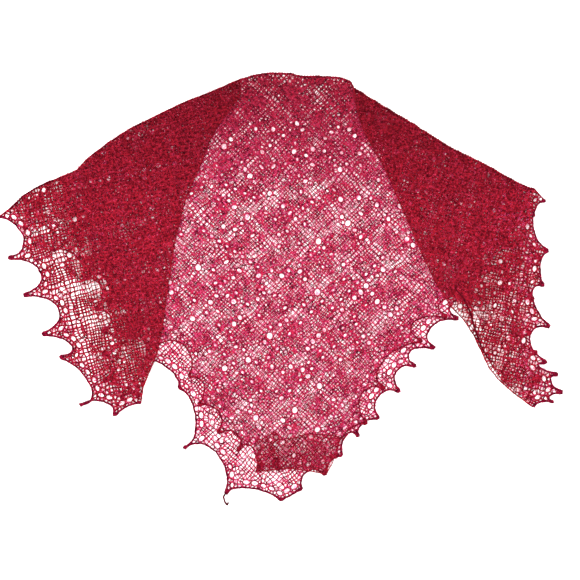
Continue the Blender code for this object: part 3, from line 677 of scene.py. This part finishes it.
class Layer:
    """One layer of the laid shawl, and the net of stitches that fills it."""

    def __init__(self, name, outline, turn, seam=None, falls=(), more=()):
        self.name = name
        self.kind = KINDS[name]
        self.level = self.kind.level
        self.edges = self.kind.edges
        self.outline = np.vstack(outline)
        self.turn = turn
        self.seam = seam
        self.falls = falls
        self.seed = sum(map(ord, name))
        eyelets = [loop for edge in self.edges for loop in edge_eyelets(edge)]
        extra = [loop for seed, edge in enumerate(self.edges, self.kind.hole_seed)
                 for loop in extra_holes(edge, seed)]
        holes, leaves = chart(turn, round(turn * 100))
        rng = np.random.default_rng(SEED + self.seed)
        holes = [loop + rng.normal(0, LAYER_STRAY / 2, 2) for loop in holes]
        low, high = self.box()
        self.leaves = leaves[((leaves[:, :2] > low) & (leaves[:, :2] < high)).all(1)]
        if self.level <= BODY_OVER:
            high = np.array((high[0], CHART_TOP))
        holes = [loop for loop in holes if (loop > low).all() and (loop < high).all()]
        if seam is not None and holes:
            middles = np.array([loop.mean(0) for loop in holes])
            holes = [loop for loop, within in zip(holes, inside(middles, left_side(seam))) if within]
        cut = self.clear(eyelets + field_eyelets(self.level), EYELET_CLEARANCE, EYELET_SPACING)
        rings = [widened(loop) for loop in cut]
        larger = self.clear(extra + list(more), EXTRA_HOLE_CLEARANCE, EXTRA_HOLE_SPACING, rings)
        self.eyelets = self.clear(holes, CHART_CLEARANCE, CHART_SPACING, larger)

    def clear(self, loops, clearance, spacing, kept=()):
        """Those kept before, and the loops that stay clear of them and of the layer's edges."""
        kept = list(kept)
        if not loops:
            return kept
        flat = np.vstack(loops)
        fine = inside(flat, self.outline) & (self.edge_distance(flat) >= clearance)
        middles = [loop.mean(0) for loop in kept]
        for loop, good in zip(loops, fine.reshape(len(loops), -1).all(1)):
            middle = loop.mean(0)
            if good and (not middles or np.hypot(*(np.array(middles) - middle).T).min() > spacing):
                kept.append(loop)
                middles.append(middle)
        return kept

    def thickness(self, places):
        """How wide the yarn lies at each place, as a share of its plain width."""
        share = PLAIN_SHARE + uneven(places, OWN_UNEVENNESS, self.seed + 5)
        for k, row in enumerate(SHARED_UNEVENNESS):
            share += uneven(places, row, SHARED_SEED + k)
        share += band_share(places, self.turn)
        share += LEAF_SWELL * self.leaf_share(places)
        for loop in self.eyelets:
            share[self.near(places, loop, RING_SWELL_MARGIN)] += RING_SWELL
        if self.name in OUTER_LAYERS:
            past = distance_to(places, self.seam) * np.where(inside(places, left_side(self.seam)), 1, 0)
            share += OUTER_EDGE_SWELL[self.level] * np.exp(-(past / OUTER_EDGE_REACH) ** 2)
        for slope in SLOPES:
            if self.name in slope.layers:
                share += slope.share * rise(places, slope)
        if self.name == "wing_right_over":
            share += CREASE_SWELL * np.exp(-(distance_to(places, points(CREASE)) / CREASE_REACH) ** 2)
        if self.name in CORNER_FADE.layers:
            share *= 1 - CORNER_FADE.share + CORNER_FADE.share * rise(places, CORNER_FADE)
        return np.clip(share * self.kind.fullness, *SHARE_LIMITS)

    def leaf_share(self, places):
        """A leaf's boldness in the middle of each leaf of the chart, fading to 0 beside it."""
        dark = np.zeros(len(places))
        for x, y, breadth, length, turn, bold in self.leaves:
            away = places - (x, y)
            near = (np.abs(away) < LEAF_REACH * length).all(1)
            side, ahead = turned_axes(turn)
            far = ((away[near] @ ahead) / length) ** 2 + ((away[near] @ side) / breadth) ** 2
            dark[near] = np.maximum(dark[near], bold * np.exp(-far ** 2))
        return dark

    @staticmethod
    def near(places, loop, margin):
        """Which places lie within the margin of a larger hole, taken as a circle."""
        middle = loop.mean(0)
        return np.hypot(*(places - middle).T) < np.hypot(*(loop - middle).T).max() + margin

    def height(self, places):
        middle = np.full(len(places), YARN_FLOOR + self.level * LAYER_RISE)
        return middle - sum(fall.depth(places) for fall in self.falls)

    def box(self):
        return self.outline.min(0), self.outline.max(0)

    def closed(self):
        return np.vstack((self.outline, self.outline[:1]))

    def edge_distance(self, places):
        gap = distance_to(places, self.closed())
        return np.minimum(gap, distance_to(places, self.seam)) if self.seam is not None else gap

    def lattice(self):
        """Knots of the plain net: rows and columns along the square's sides, a little uneven."""
        rng = np.random.default_rng(SEED + self.seed)
        low, high = self.box()
        middle, reach = (low + high) / 2, np.hypot(*(high - low)) / 2
        count = int(reach / PITCH) + 2
        side = np.arange(-count, count + 1) * PITCH
        grid = np.stack(np.meshgrid(side, side), -1).reshape(-1, 2)
        grid += rng.normal(0, PITCH * JITTER[self.level], grid.shape)
        grid = grid @ turned_axes(self.turn) + middle
        grid = grid[(grid > low).all(1) & (grid < high).all(1)]
        swayed = opened_up(grid, self.turn)
        for k, sway in enumerate(SWAYS):
            swayed += np.stack((ripple(grid, sway.wave_x, self.seed + 2 * k),
                                ripple(grid, sway.wave_y, self.seed + 2 * k + 1)), -1) * sway.reach
        return swayed

    def knots(self):
        """The lattice's knots that stay clear of the layer's edges, seam and larger holes."""
        grid = self.lattice()
        grid = grid[inside(grid, self.outline)]
        grid = grid[distance_to(grid, self.closed()) > PITCH * CLEAR_OF_EDGE]
        if self.seam is not None:
            grid = grid[distance_to(grid, self.seam) > PITCH * CLEAR_OF_SEAM]
        for loop in self.eyelets:
            grid = grid[~self.near(grid, loop, PITCH * CLEAR_OF_HOLE)]
        return grid

    def net(self):
        """The net as plane knots and the holes between them, each a loop of knots."""
        places = [self.outline]
        edges = []
        total = len(self.outline)
        lines = [(loop, True) for loop in self.eyelets]
        if self.seam is not None:
            line = resampled(run_on(self.seam[1:-1], SEAM_RUN_ON), PITCH)
            line = line[inside(line, self.outline)]
            line = line[distance_to(line, self.closed()) > PITCH * SEAM_CLEAR_OF_EDGE]
            lines.insert(0, (line, False))
        for line, closed in lines:
            places.append(line)
            chain = list(range(total, total + len(line))) + [total] * closed
            edges += zip(chain[:-1], chain[1:])
            total += len(line)
        places.append(self.knots())
        spots = [Vector(place) for place in np.vstack(places)]
        cut = delaunay_2d_cdt(spots, edges, [tuple(range(len(self.outline)))], 1, 1e-7)
        net = bmesh.new()
        verts = [net.verts.new((v.x, v.y, 0)) for v in cut[0]]
        middles = np.array([[sum(cut[0][i][k] for i in f) / len(f) for k in (0, 1)] for f in cut[2]])
        keep = inside(middles, self.outline)
        for loop in self.eyelets:
            near = np.hypot(*(middles - loop.mean(0)).T) < HOLE_REACH
            near[near] = inside(middles[near], loop)
            keep &= ~near
        for face, wanted in zip(cut[2], keep):
            if wanted:
                net.faces.new([verts[i] for i in face])
        bmesh.ops.join_triangles(
            net, faces=net.faces, cmp_seam=False, cmp_sharp=False, cmp_uvs=False, cmp_vcols=False,
            cmp_materials=False, angle_face_threshold=ANY_ANGLE, angle_shape_threshold=ANY_ANGLE)
        net.verts.index_update()
        spots = np.array([(v.co.x, v.co.y) for v in net.verts])
        holes = [[v.index for v in face.verts] for face in net.faces]
        net.free()
        return spots, holes


def boundary_loops(holes):
    """The edges with a hole on one side only, as loops that run the other way round."""
    pairs = {(a, b) for loop in holes for a, b in zip(loop, loop[1:] + loop[:1])}
    follow = {}
    for a, b in pairs:
        if (b, a) not in pairs:
            follow.setdefault(b, []).append(a)
    loops = []
    while follow:
        start = next(iter(follow))
        loop = [start]
        while True:
            ahead = follow[loop[-1]]
            step = ahead.pop()
            if not ahead:
                del follow[loop[-1]]
            if step == start:
                break
            loop.append(step)
        loops.append(loop)
    return loops


def strands(places, heights, holes, width, height):
    """Yarn round every hole: a closed net with a four-sided section. Gives vertices and quads."""
    count = len(places)
    top = np.column_stack((places, heights + height / 2))
    low = np.column_stack((places, heights - height / 2))
    inner, quads = [], []
    start = 2 * count
    for loops, outside in ((holes, False), (boundary_loops(holes), True)):
        for size in sorted({len(loop) for loop in loops}):
            group = np.array([loop for loop in loops if len(loop) == size])
            corner = places[group]
            if outside:
                back = unit(corner - np.roll(corner, 1, 1))
                ahead = unit(np.roll(corner, -1, 1) - corner)
                way = unit(left_of(back) + left_of(ahead) + 1e-9)
                inset = corner + way * (width[group] / 2)[..., None]
            else:
                middle = corner.mean(1, keepdims=True)
                toward = middle - corner
                reach = np.linalg.norm(toward, axis=-1)
                half_angle = math.pi * (size - 2) / (2 * size)
                share = width[group] / 2 / math.sin(half_angle) / np.maximum(reach, 1e-9)
                inset = corner + toward * np.minimum(share, DEEPEST_INSET)[..., None]
            level = heights[group]
            inner.append(np.concatenate((inset, level[..., None]), -1).reshape(-1, 3))
            here = start + np.arange(group.size).reshape(group.shape)
            start += group.size
            after, next_here = np.roll(group, -1, 1), np.roll(here, -1, 1)
            quads.append(np.stack((group, after, next_here, here), -1).reshape(-1, 4))
            quads.append(np.stack((after + count, group + count, here, next_here), -1).reshape(-1, 4))
    return np.vstack([top, low] + inner), np.vstack(quads)


def placed(name, data):
    """A new object in the scene."""
    thing = bpy.data.objects.new(name, data)
    bpy.context.scene.collection.objects.link(thing)
    return thing


def set_inputs(node, values):
    for name, value in values.items():
        node.inputs[name].default_value = value


def add_mesh(name, vertices, faces, material, smooth=True):
    """A mesh object from arrays, its faces all of one size."""
    mesh = bpy.data.meshes.new(name)
    size = faces.shape[1]
    mesh.vertices.add(len(vertices))
    mesh.vertices.foreach_set("co", (vertices + (*SHIFT, 0)).astype(np.float32).ravel())
    mesh.loops.add(faces.size)
    mesh.loops.foreach_set("vertex_index", faces.astype(np.int32).ravel())
    mesh.polygons.add(len(faces))
    mesh.polygons.foreach_set("loop_start", (np.arange(len(faces)) * size).astype(np.int32))
    mesh.update(calc_edges=True)
    mesh.validate()
    if smooth:
        mesh.shade_smooth()
    mesh.materials.append(material)
    return placed(name, mesh)


def tube(path, radii, sides=5, flat=1.0):
    """A closed tube along the path of space points. Gives vertices and triangles."""
    count = len(path)
    ahead = unit(np.gradient(path, axis=0))
    side = unit(np.stack((-ahead[:, 1], ahead[:, 0], np.zeros(count)), -1) + 1e-9)
    up = np.cross(ahead, side)
    turns = np.arange(sides) * (FULL_TURN / sides)
    rings = (path[:, None] + (side[:, None] * np.cos(turns)[..., None]
             + up[:, None] * (np.sin(turns) * flat)[..., None]) * np.asarray(radii)[:, None, None])
    vertices = np.vstack((rings.reshape(-1, 3), path[:1], path[-1:]))
    index = np.arange(count * sides).reshape(count, sides)
    a, b = index[:-1], np.roll(index, -1, 1)[:-1]
    c, d = np.roll(index, -1, 1)[1:], index[1:]
    faces = [np.stack((a, b, c), -1).reshape(-1, 3), np.stack((a, c, d), -1).reshape(-1, 3)]
    first, last = np.full(sides, count * sides), np.full(sides, count * sides + 1)
    faces.append(np.stack((first, np.roll(index[0], -1), index[0]), -1))
    faces.append(np.stack((last, index[-1], np.roll(index[-1], -1)), -1))
    return vertices, np.vstack(faces)


def joined(parts):
    """Several pairs of vertices and faces as one."""
    vertices, faces, start = [], [], 0
    for v, f in parts:
        vertices.append(v)
        faces.append(f + start)
        start += len(v)
    return np.vstack(vertices), np.vstack(faces)


def stretch(line, low_x, high_x):
    return line[(line[:, 0] >= low_x) & (line[:, 0] <= high_x)]


def fold_run(line):
    """A fold line with a knot at every stitch, without its last place."""
    return resampled(line, PITCH)[:-1]


def edge_run(edge):
    """A scalloped edge with its knots, without its last place."""
    return np.vstack([resampled(line, EDGE_STEP)[:-1] for line in bites(edge)])


def make_layers():
    neck, left_shoulder, right_shoulder, left_fold, right_fold, right_fold_under, tuck = map(points, (
        NECK_FOLD, LEFT_SHOULDER, RIGHT_SHOULDER, LEFT_WING_FOLD, RIGHT_WING_FOLD,
        RIGHT_WING_FOLD_UNDER, TUCK_FOLD))
    left_body_fall = Fall(BODY_UNDER_EDGE[:8], 2 * LAYER_RISE, BODY_FALL)
    right_body_fall = Fall(BODY_UNDER_EDGE[17:], 2 * LAYER_RISE, BODY_FALL)
    left_wing_fall = Fall(WING_LEFT_UNDER_EDGE, LAYER_RISE, WING_FALL)
    right_wing_fall = Fall(WING_RIGHT_UNDER_EDGE, LAYER_RISE, WING_FALL)
    body_turn = math.pi / 4
    left_turn = 2 * math.atan2(*(left_shoulder[-1] - left_shoulder[0])[::-1]) - body_turn
    right_turn = 2 * math.atan2(*(right_shoulder[-1] - right_shoulder[0])[::-1]) - body_turn

    def body(edges, lower):
        ends = tips(edges[0])[0], tips(edges[-1])[-1]
        left = np.vstack((stretch(left_shoulder, ends[0][0] + POINT_WIDTH, FAR), ends[0]))
        right = np.vstack((ends[1], stretch(right_shoulder, -FAR, ends[1][0] - POINT_WIDTH)))
        return [fold_run(left), lower, fold_run(right), fold_run(neck)]

    def wing(name, before, after, turn, falls):
        edge, = KINDS[name].edges
        return Layer(name, [fold_run(before), edge_run(edge), fold_run(after)], turn,
                     seam_line(feet(edge)), falls)

    left_under, left_over = tips(WING_LEFT_UNDER_EDGE), tips(WING_LEFT_OVER_EDGE)
    right_under, right_over = tips(WING_RIGHT_UNDER_EDGE), tips(WING_RIGHT_OVER_EDGE)
    right_end = stretch(right_shoulder, -FAR, right_under[-1][0] - SHOULDER_CLEARANCE)
    over_edge = np.vstack((edge_run(BODY_OVER_LEFT_EDGE), fold_run(tuck), edge_run(BODY_OVER_RIGHT_EDGE)))
    layers = [
        Layer("body_under", body([BODY_UNDER_EDGE], edge_run(BODY_UNDER_EDGE)), body_turn,
              seam_line(feet(BODY_UNDER_EDGE)), more=field_eyelets(BODY_OVER)),
        Layer("body_over", body([BODY_OVER_LEFT_EDGE, BODY_OVER_RIGHT_EDGE], over_edge), body_turn,
              seam_line(feet(BODY_OVER_LEFT_EDGE), points([TURNED_CORNER_FOOT]),
                        feet(BODY_OVER_RIGHT_EDGE)), more=field_eyelets(BODY_UNDER)),
        Layer("turned_corner", [fold_run(tuck), edge_run(TUCK_EDGE)], body_turn),
        wing("wing_left_under", np.vstack((stretch(left_shoulder, left_under[0][0], FAR), left_under[:1])),
             np.vstack((left_under[-1:], left_fold[1:])), left_turn, [left_body_fall]),
        wing("wing_left_over", np.vstack((left_shoulder, left_over[:1])), left_fold,
             left_turn, [left_body_fall, left_wing_fall]),
        wing("wing_right_under", right_fold_under, np.vstack((right_under[-1:], right_end)),
             right_turn, [right_body_fall]),
        wing("wing_right_over", right_fold, np.vstack((right_over[-1:], right_shoulder)),
             right_turn, [right_body_fall, right_wing_fall]),
    ]
    return {made.name: made for made in layers}


def yarn(name, dark, light, sheen, neck_shade=None):
    """Brushed yarn: its colour runs at random between a dark and a light tone, in long and short patches,
    with fine fibres. The two tones are partly the yarn's own uneven colour and partly painted light and
    shade on the strands; where a neck colour is given, painted shade darkens it towards the neck fold.
    """
    material = bpy.data.materials.new(name)
    material.use_nodes = True
    nodes, link = material.node_tree.nodes, material.node_tree.links.new
    shader = nodes["Principled BSDF"]
    set_inputs(shader, {
        "Roughness": 0.85, "Specular IOR Level": 0.02, "Sheen Weight": sheen, "Sheen Roughness": 0.5,
        "Sheen Tint": (1.0, 0.08, 0.2, 1.0)})
    where = nodes.new("ShaderNodeTexCoord").outputs["Object"]
    # The dark and light tones are partly the yarn's own uneven colour, partly painted light and shade on
    # the strands, scattered at random in patches
    patches = nodes.new("ShaderNodeTexNoise")
    set_inputs(patches, {"Scale": 220, "Detail": 4})
    link(where, patches.inputs["Vector"])
    ramp = nodes.new("ShaderNodeValToRGB")
    for stop, position, colour in zip(ramp.color_ramp.elements, RAMP_STOPS, (dark, light)):
        stop.position = position
        stop.color = (*colour, 1)
    link(patches.outputs["Fac"], ramp.inputs["Fac"])
    link(ramp.outputs["Color"], shader.inputs["Base Color"])
    # Painted shade: the colour is multiplied darker towards the neck fold, where the cloth is bunched
    if neck_shade:
        axes = nodes.new("ShaderNodeSeparateXYZ")
        link(where, axes.inputs["Vector"])
        depth = nodes.new("ShaderNodeMapRange")
        set_inputs(depth, {"From Min": NECK_SHADE_FROM, "From Max": NECK_SHADE_TO})
        link(axes.outputs["Y"], depth.inputs["Value"])
        painted_shade = nodes.new("ShaderNodeMix")
        painted_shade.data_type = "RGBA"
        painted_shade.blend_type = "MULTIPLY"
        share, colour, tint = painted_shade.inputs[0], painted_shade.inputs[6], painted_shade.inputs[7]
        tint.default_value = (*neck_shade, 1)
        link(depth.outputs["Result"], share)
        link(ramp.outputs["Color"], colour)
        link(painted_shade.outputs[2], shader.inputs["Base Color"])
    fibres = nodes.new("ShaderNodeTexNoise")
    set_inputs(fibres, {"Scale": 2500, "Detail": 3})
    link(where, fibres.inputs["Vector"])
    bump = nodes.new("ShaderNodeBump")
    set_inputs(bump, {"Strength": 0.5, "Distance": 0.0003})
    link(fibres.outputs["Fac"], bump.inputs["Height"])
    link(bump.outputs["Normal"], shader.inputs["Normal"])
    return material


# The pieces

def dress(piece):
    """The piece rides with the shawl."""
    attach(piece, "root")


def net_pieces(layer, material):
    """The layer's net as a piece for each of its solids."""
    places, holes = layer.net()
    heights = layer.height(places)
    width = STRAND_WIDTH * layer.thickness(places)
    middles = np.array([places[loop].mean(0) for loop in holes])
    parts = {layer.name: np.ones(len(holes), bool)}
    if layer.seam is not None:
        field = inside(middles, left_side(layer.seam))
        parts = {layer.name: field, f"edging_{layer.name}": ~field}
        if layer.name == "body_over":
            left = middles[:, 0] < TURNED_CORNER_FOOT[0] * CM
            parts = {layer.name: field, "edging_body_over_left": ~field & left,
                     "edging_body_over_right": ~field & ~left}
    made = []
    for node, wanted in parts.items():
        chosen = [loop for loop, w in zip(holes, wanted) if w]
        used = np.unique(np.concatenate([np.array(loop) for loop in chosen]))
        index = np.full(len(places), -1)
        index[used] = np.arange(len(used))
        chosen = [[int(index[i]) for i in loop] for loop in chosen]
        spots = places[used]
        area = sum(abs(cross_area(spots[loop])) for loop in chosen)
        vertices, quads = strands(spots, heights[used], chosen, width[used], STRAND_HEIGHT)
        piece = add_mesh(f"knit_{node}", vertices, quads, material)
        dress(piece)
        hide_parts(node)
        made.append((piece, spots, area))
    return made


def cord_along(layer, edge):
    """The bound-off cord of a scalloped edge, thicker at its points."""
    lines = bites(edge)
    path = resampled(np.vstack([line[:-1] for line in lines] + [lines[-1][-1:]]), CORD_STEP)
    rng = np.random.default_rng(SEED + layer.seed)
    path = path + rng.normal(0, CORD_STRAY, path.shape)
    tip_places = tips(edge)
    near = np.min([np.hypot(*(path - tip).T) for tip in tip_places], axis=0)
    radii = layer.kind.cord_radius + layer.kind.point_swell * np.exp(-(near / POINT_REACH) ** 2)
    radii += rng.normal(0, CORD_UNEVENNESS, len(path))
    height = np.maximum(layer.height(path), radii * CORD_FLATNESS)
    return tube(np.column_stack((path, height)), radii, CORD_SIDES, CORD_FLATNESS)


def hairs(layer):
    """The yarn's halo: fine closed needles that lie about the layer. Gives vertices and triangles."""
    rng = np.random.default_rng(SEED * 10 + layer.seed)
    low, high = layer.box()
    root = rng.uniform(low, high, (round(HAIRS_PER_SQUARE_METRE * np.prod(high - low)), 2))
    if layer.level <= BODY_OVER:
        low = np.array((low[0], NECK_HAIRS_FROM))
        more = round(NECK_HAIRS_PER_SQUARE_METRE * np.prod(high - low))
        root = np.vstack((root, rng.uniform(low, high, (more, 2))))
    count = len(root)
    turn = rng.uniform(0, FULL_TURN, count)
    length = rng.uniform(*HAIR_LENGTH, count)
    lift = rng.uniform(*HAIR_LIFT, count)
    keep = inside(root, layer.outline)
    root, turn, length, lift = root[keep], turn[keep], length[keep], lift[keep]
    rims = [line for edge in layer.edges for line in bites(edge)]
    if layer.name in RIM_FOLDS:
        rims.append(points(RIM_FOLDS[layer.name]))
    rim = np.vstack([resampled(line, EDGE_HAIR_STEP) for line in rims])
    root = np.vstack((root, rim))
    turn = np.concatenate((turn, rng.uniform(0, FULL_TURN, len(rim))))
    length = np.concatenate((length, rng.uniform(*EDGE_HAIR_LENGTH, len(rim)) * HAIR_LENGTH[0]))
    lift = np.concatenate((lift, rng.uniform(*EDGE_HAIR_LIFT, len(rim))))
    return needles(layer, root, turn, length, lift)


def haze(layer):
    """More of the halo where the layer lies alone on the floor, along its scalloped edge."""
    rng = np.random.default_rng(SEED * 20 + layer.seed)
    rim = np.vstack([resampled(line, HAZE_STEP) for edge in layer.edges for line in bites(edge)])
    root = rim + rng.normal(0, HAZE_REACH, rim.shape)
    root = root[inside(root, layer.outline)]
    return needles(layer, root, rng.uniform(0, FULL_TURN, len(root)),
                   rng.uniform(*HAIR_LENGTH, len(root)), rng.uniform(*HAZE_LIFT, len(root)))


def needles(layer, root, turn, length, lift):
    """Fine closed needles from their roots, each to its own tip. Gives vertices and triangles."""
    ahead = np.stack((np.cos(turn), np.sin(turn)), -1)
    side = left_of(ahead) * (HAIR_WIDTH / 2)
    level = layer.height(root)
    foot = np.maximum(level, HAIR_WIDTH)
    tip = np.maximum(level + lift, LOWEST_TIP)
    vertices = np.stack((
        np.column_stack((root + side, foot - HAIR_WIDTH / 3)),
        np.column_stack((root - side, foot - HAIR_WIDTH / 3)),
        np.column_stack((root, foot + HAIR_WIDTH * 2 / 3)),
        np.column_stack((root + ahead * length[:, None], tip))), 1).reshape(-1, 3)
    start = np.arange(len(root))[:, None, None] * 4
    faces = start + np.array(((0, 1, 2), (1, 0, 3), (2, 1, 3), (0, 2, 3)))
    return vertices, faces.reshape(-1, 3)


def curl(x, y, size, turns, height):
    """A crumpled point of the turned corner: a short cord wound on itself."""
    t = np.linspace(0, 1, CURL_PIECES)
    way = t * turns * FULL_TURN
    reach = size * (1 - CURL_WOUND_IN * t)
    path = np.column_stack((x * CM + np.cos(way) * reach * CURL_BREADTH, y * CM + np.sin(way) * reach,
                            height + CURL_RISE * t))
    return tube(path, CURL_RADII[0] + CURL_RADII[1] * np.sin(t * math.pi), CORD_SIDES, CORD_FLATNESS)


def fold_cord(fold, low, high):
    """Stitches round a fold, from one layer's height to the other's."""
    path = resampled(points(fold.line), FOLD_STEP)
    path = path + wander(path, FOLD_WANDER_WAVE, FOLD_WANDER)
    middle = (low.height(path) + high.height(path)) / 2
    reach = (high.height(path) - low.height(path)).mean() / 2
    stitch = 1 + FOLD_BUMP * np.cos(np.arange(len(path)) * math.pi)
    stitch += uneven(path, FOLD_UNEVENNESS, FOLD_SEED)
    tall = (reach + FOLD_PROUD) / fold.radius
    middle = np.maximum(middle, fold.radius * stitch * tall)
    return tube(np.column_stack((path, middle)), fold.radius * stitch, CORD_SIDES, tall)


def crease_cord(layer):
    """The denser stitches where the layer is drawn in."""
    path = resampled(points(CREASE), FOLD_STEP)
    path = np.column_stack((path, layer.height(path) + CREASE_LIFT))
    radii = CREASE_RADII[0] + CREASE_RADII[1] * np.sin(np.linspace(0, math.pi, len(path)))
    return tube(path, radii, CORD_SIDES, CREASE_FLATNESS)


def stray_end():
    """The loose end of yarn below the shawl, on the floor."""
    path = resampled(points(STRAY_END), STRAY_STEP)
    radii = np.full(len(path), STRAY_RADIUS)
    return tube(np.column_stack((path, radii)), radii)


def extra_pieces(layer, yarns):
    """The layer's cord and halo, and for some the haze or the crumpled knots."""
    outer = layer.name in OUTER_LAYERS
    edge_yarn = yarns["yarn_outer_edge" if outer else "yarn_inner_edge"]
    cord = joined([cord_along(layer, edge) for edge in layer.edges])
    pieces = [add_mesh(f"cord_{layer.name}", *cord, edge_yarn)]
    if layer.name == "turned_corner":
        knots = joined([curl(*spot, layer.height(layer.outline)[0]) for spot in CORNER_KNOTS])
        pieces.append(add_mesh("knots_turned_corner", *knots, edge_yarn))
    # The halo's colour is partly painted light through the fibres, and darker over the wings as painted
    # shade
    halo = yarns["yarn_halo" if layer.level <= BODY_OVER else "yarn_wing_halo"]
    pieces.append(add_mesh(f"halo_{layer.name}", *hairs(layer), halo, False))
    if outer:
        pieces.append(add_mesh(f"haze_{layer.name}", *haze(layer), yarns["yarn_halo"], False))
    return pieces


def build_shawl():
    layers = make_layers()
    yarns = {name: yarn(name, *row) for name, row in YARNS.items()}
    for layer in layers.values():
        made = net_pieces(layer, yarns[SLOTS[layer.level]])
        for piece in extra_pieces(layer, yarns):
            dress(piece)
    for fold in FOLDS:
        cord = fold_cord(fold, layers[fold.low], layers[fold.high])
        dress(add_mesh(f"fold_{fold.name}", *cord, yarns[fold.yarn]))
    creased = layers["wing_right_over"]
    # The crease and the loose end are drawn in the folds' yarn, painted dark as shade
    dress(add_mesh("crease", *crease_cord(creased), yarns["yarn_fold_shade"]))
    dress(add_mesh("stray_end", *stray_end(), yarns["yarn_fold_shade"]))


def set_stage():
    mesh = bpy.data.meshes.new("floor")
    mesh.from_pydata([(-3, -3, 0), (3, -3, 0), (3, 3, 0), (-3, 3, 0)], [], [(0, 1, 2, 3)])
    material = bpy.data.materials.new("floor")
    material.use_nodes = True
    set_inputs(material.node_tree.nodes["Principled BSDF"], {
        "Base Color": (0.95, 0.95, 0.95, 1), "Roughness": 0.9})
    mesh.materials.append(material)
    floor = placed("floor", mesh)
    floor.location.z = -FLOOR_DROP
    world = bpy.data.worlds.new("studio")
    world.use_nodes = True
    set_inputs(world.node_tree.nodes["Background"], {"Color": (1, 1, 1, 1), "Strength": 1.78})
    bpy.context.scene.world = world
    lamp = bpy.data.lights.new("softbox", "AREA")
    lamp.shape = "SQUARE"
    lamp.size = 2.0
    lamp.energy = 81
    softbox = placed("softbox", lamp)
    softbox.location = (-0.6, 1.0, 2.4)
    softbox.rotation_euler = (Vector((0, 0, 0)) - softbox.location).to_track_quat("-Z", "Y").to_euler()
    lens = bpy.data.cameras.new("camera")
    lens.lens = 50
    camera = placed("camera", lens)
    camera.location = (0.021 + SHIFT[0], -0.0084 + SHIFT[1], 1.692)
    bpy.context.scene.camera = camera
    bpy.context.scene.view_settings.view_transform = "Standard"


def main():
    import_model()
    set_stage()
    build_shawl()


main()
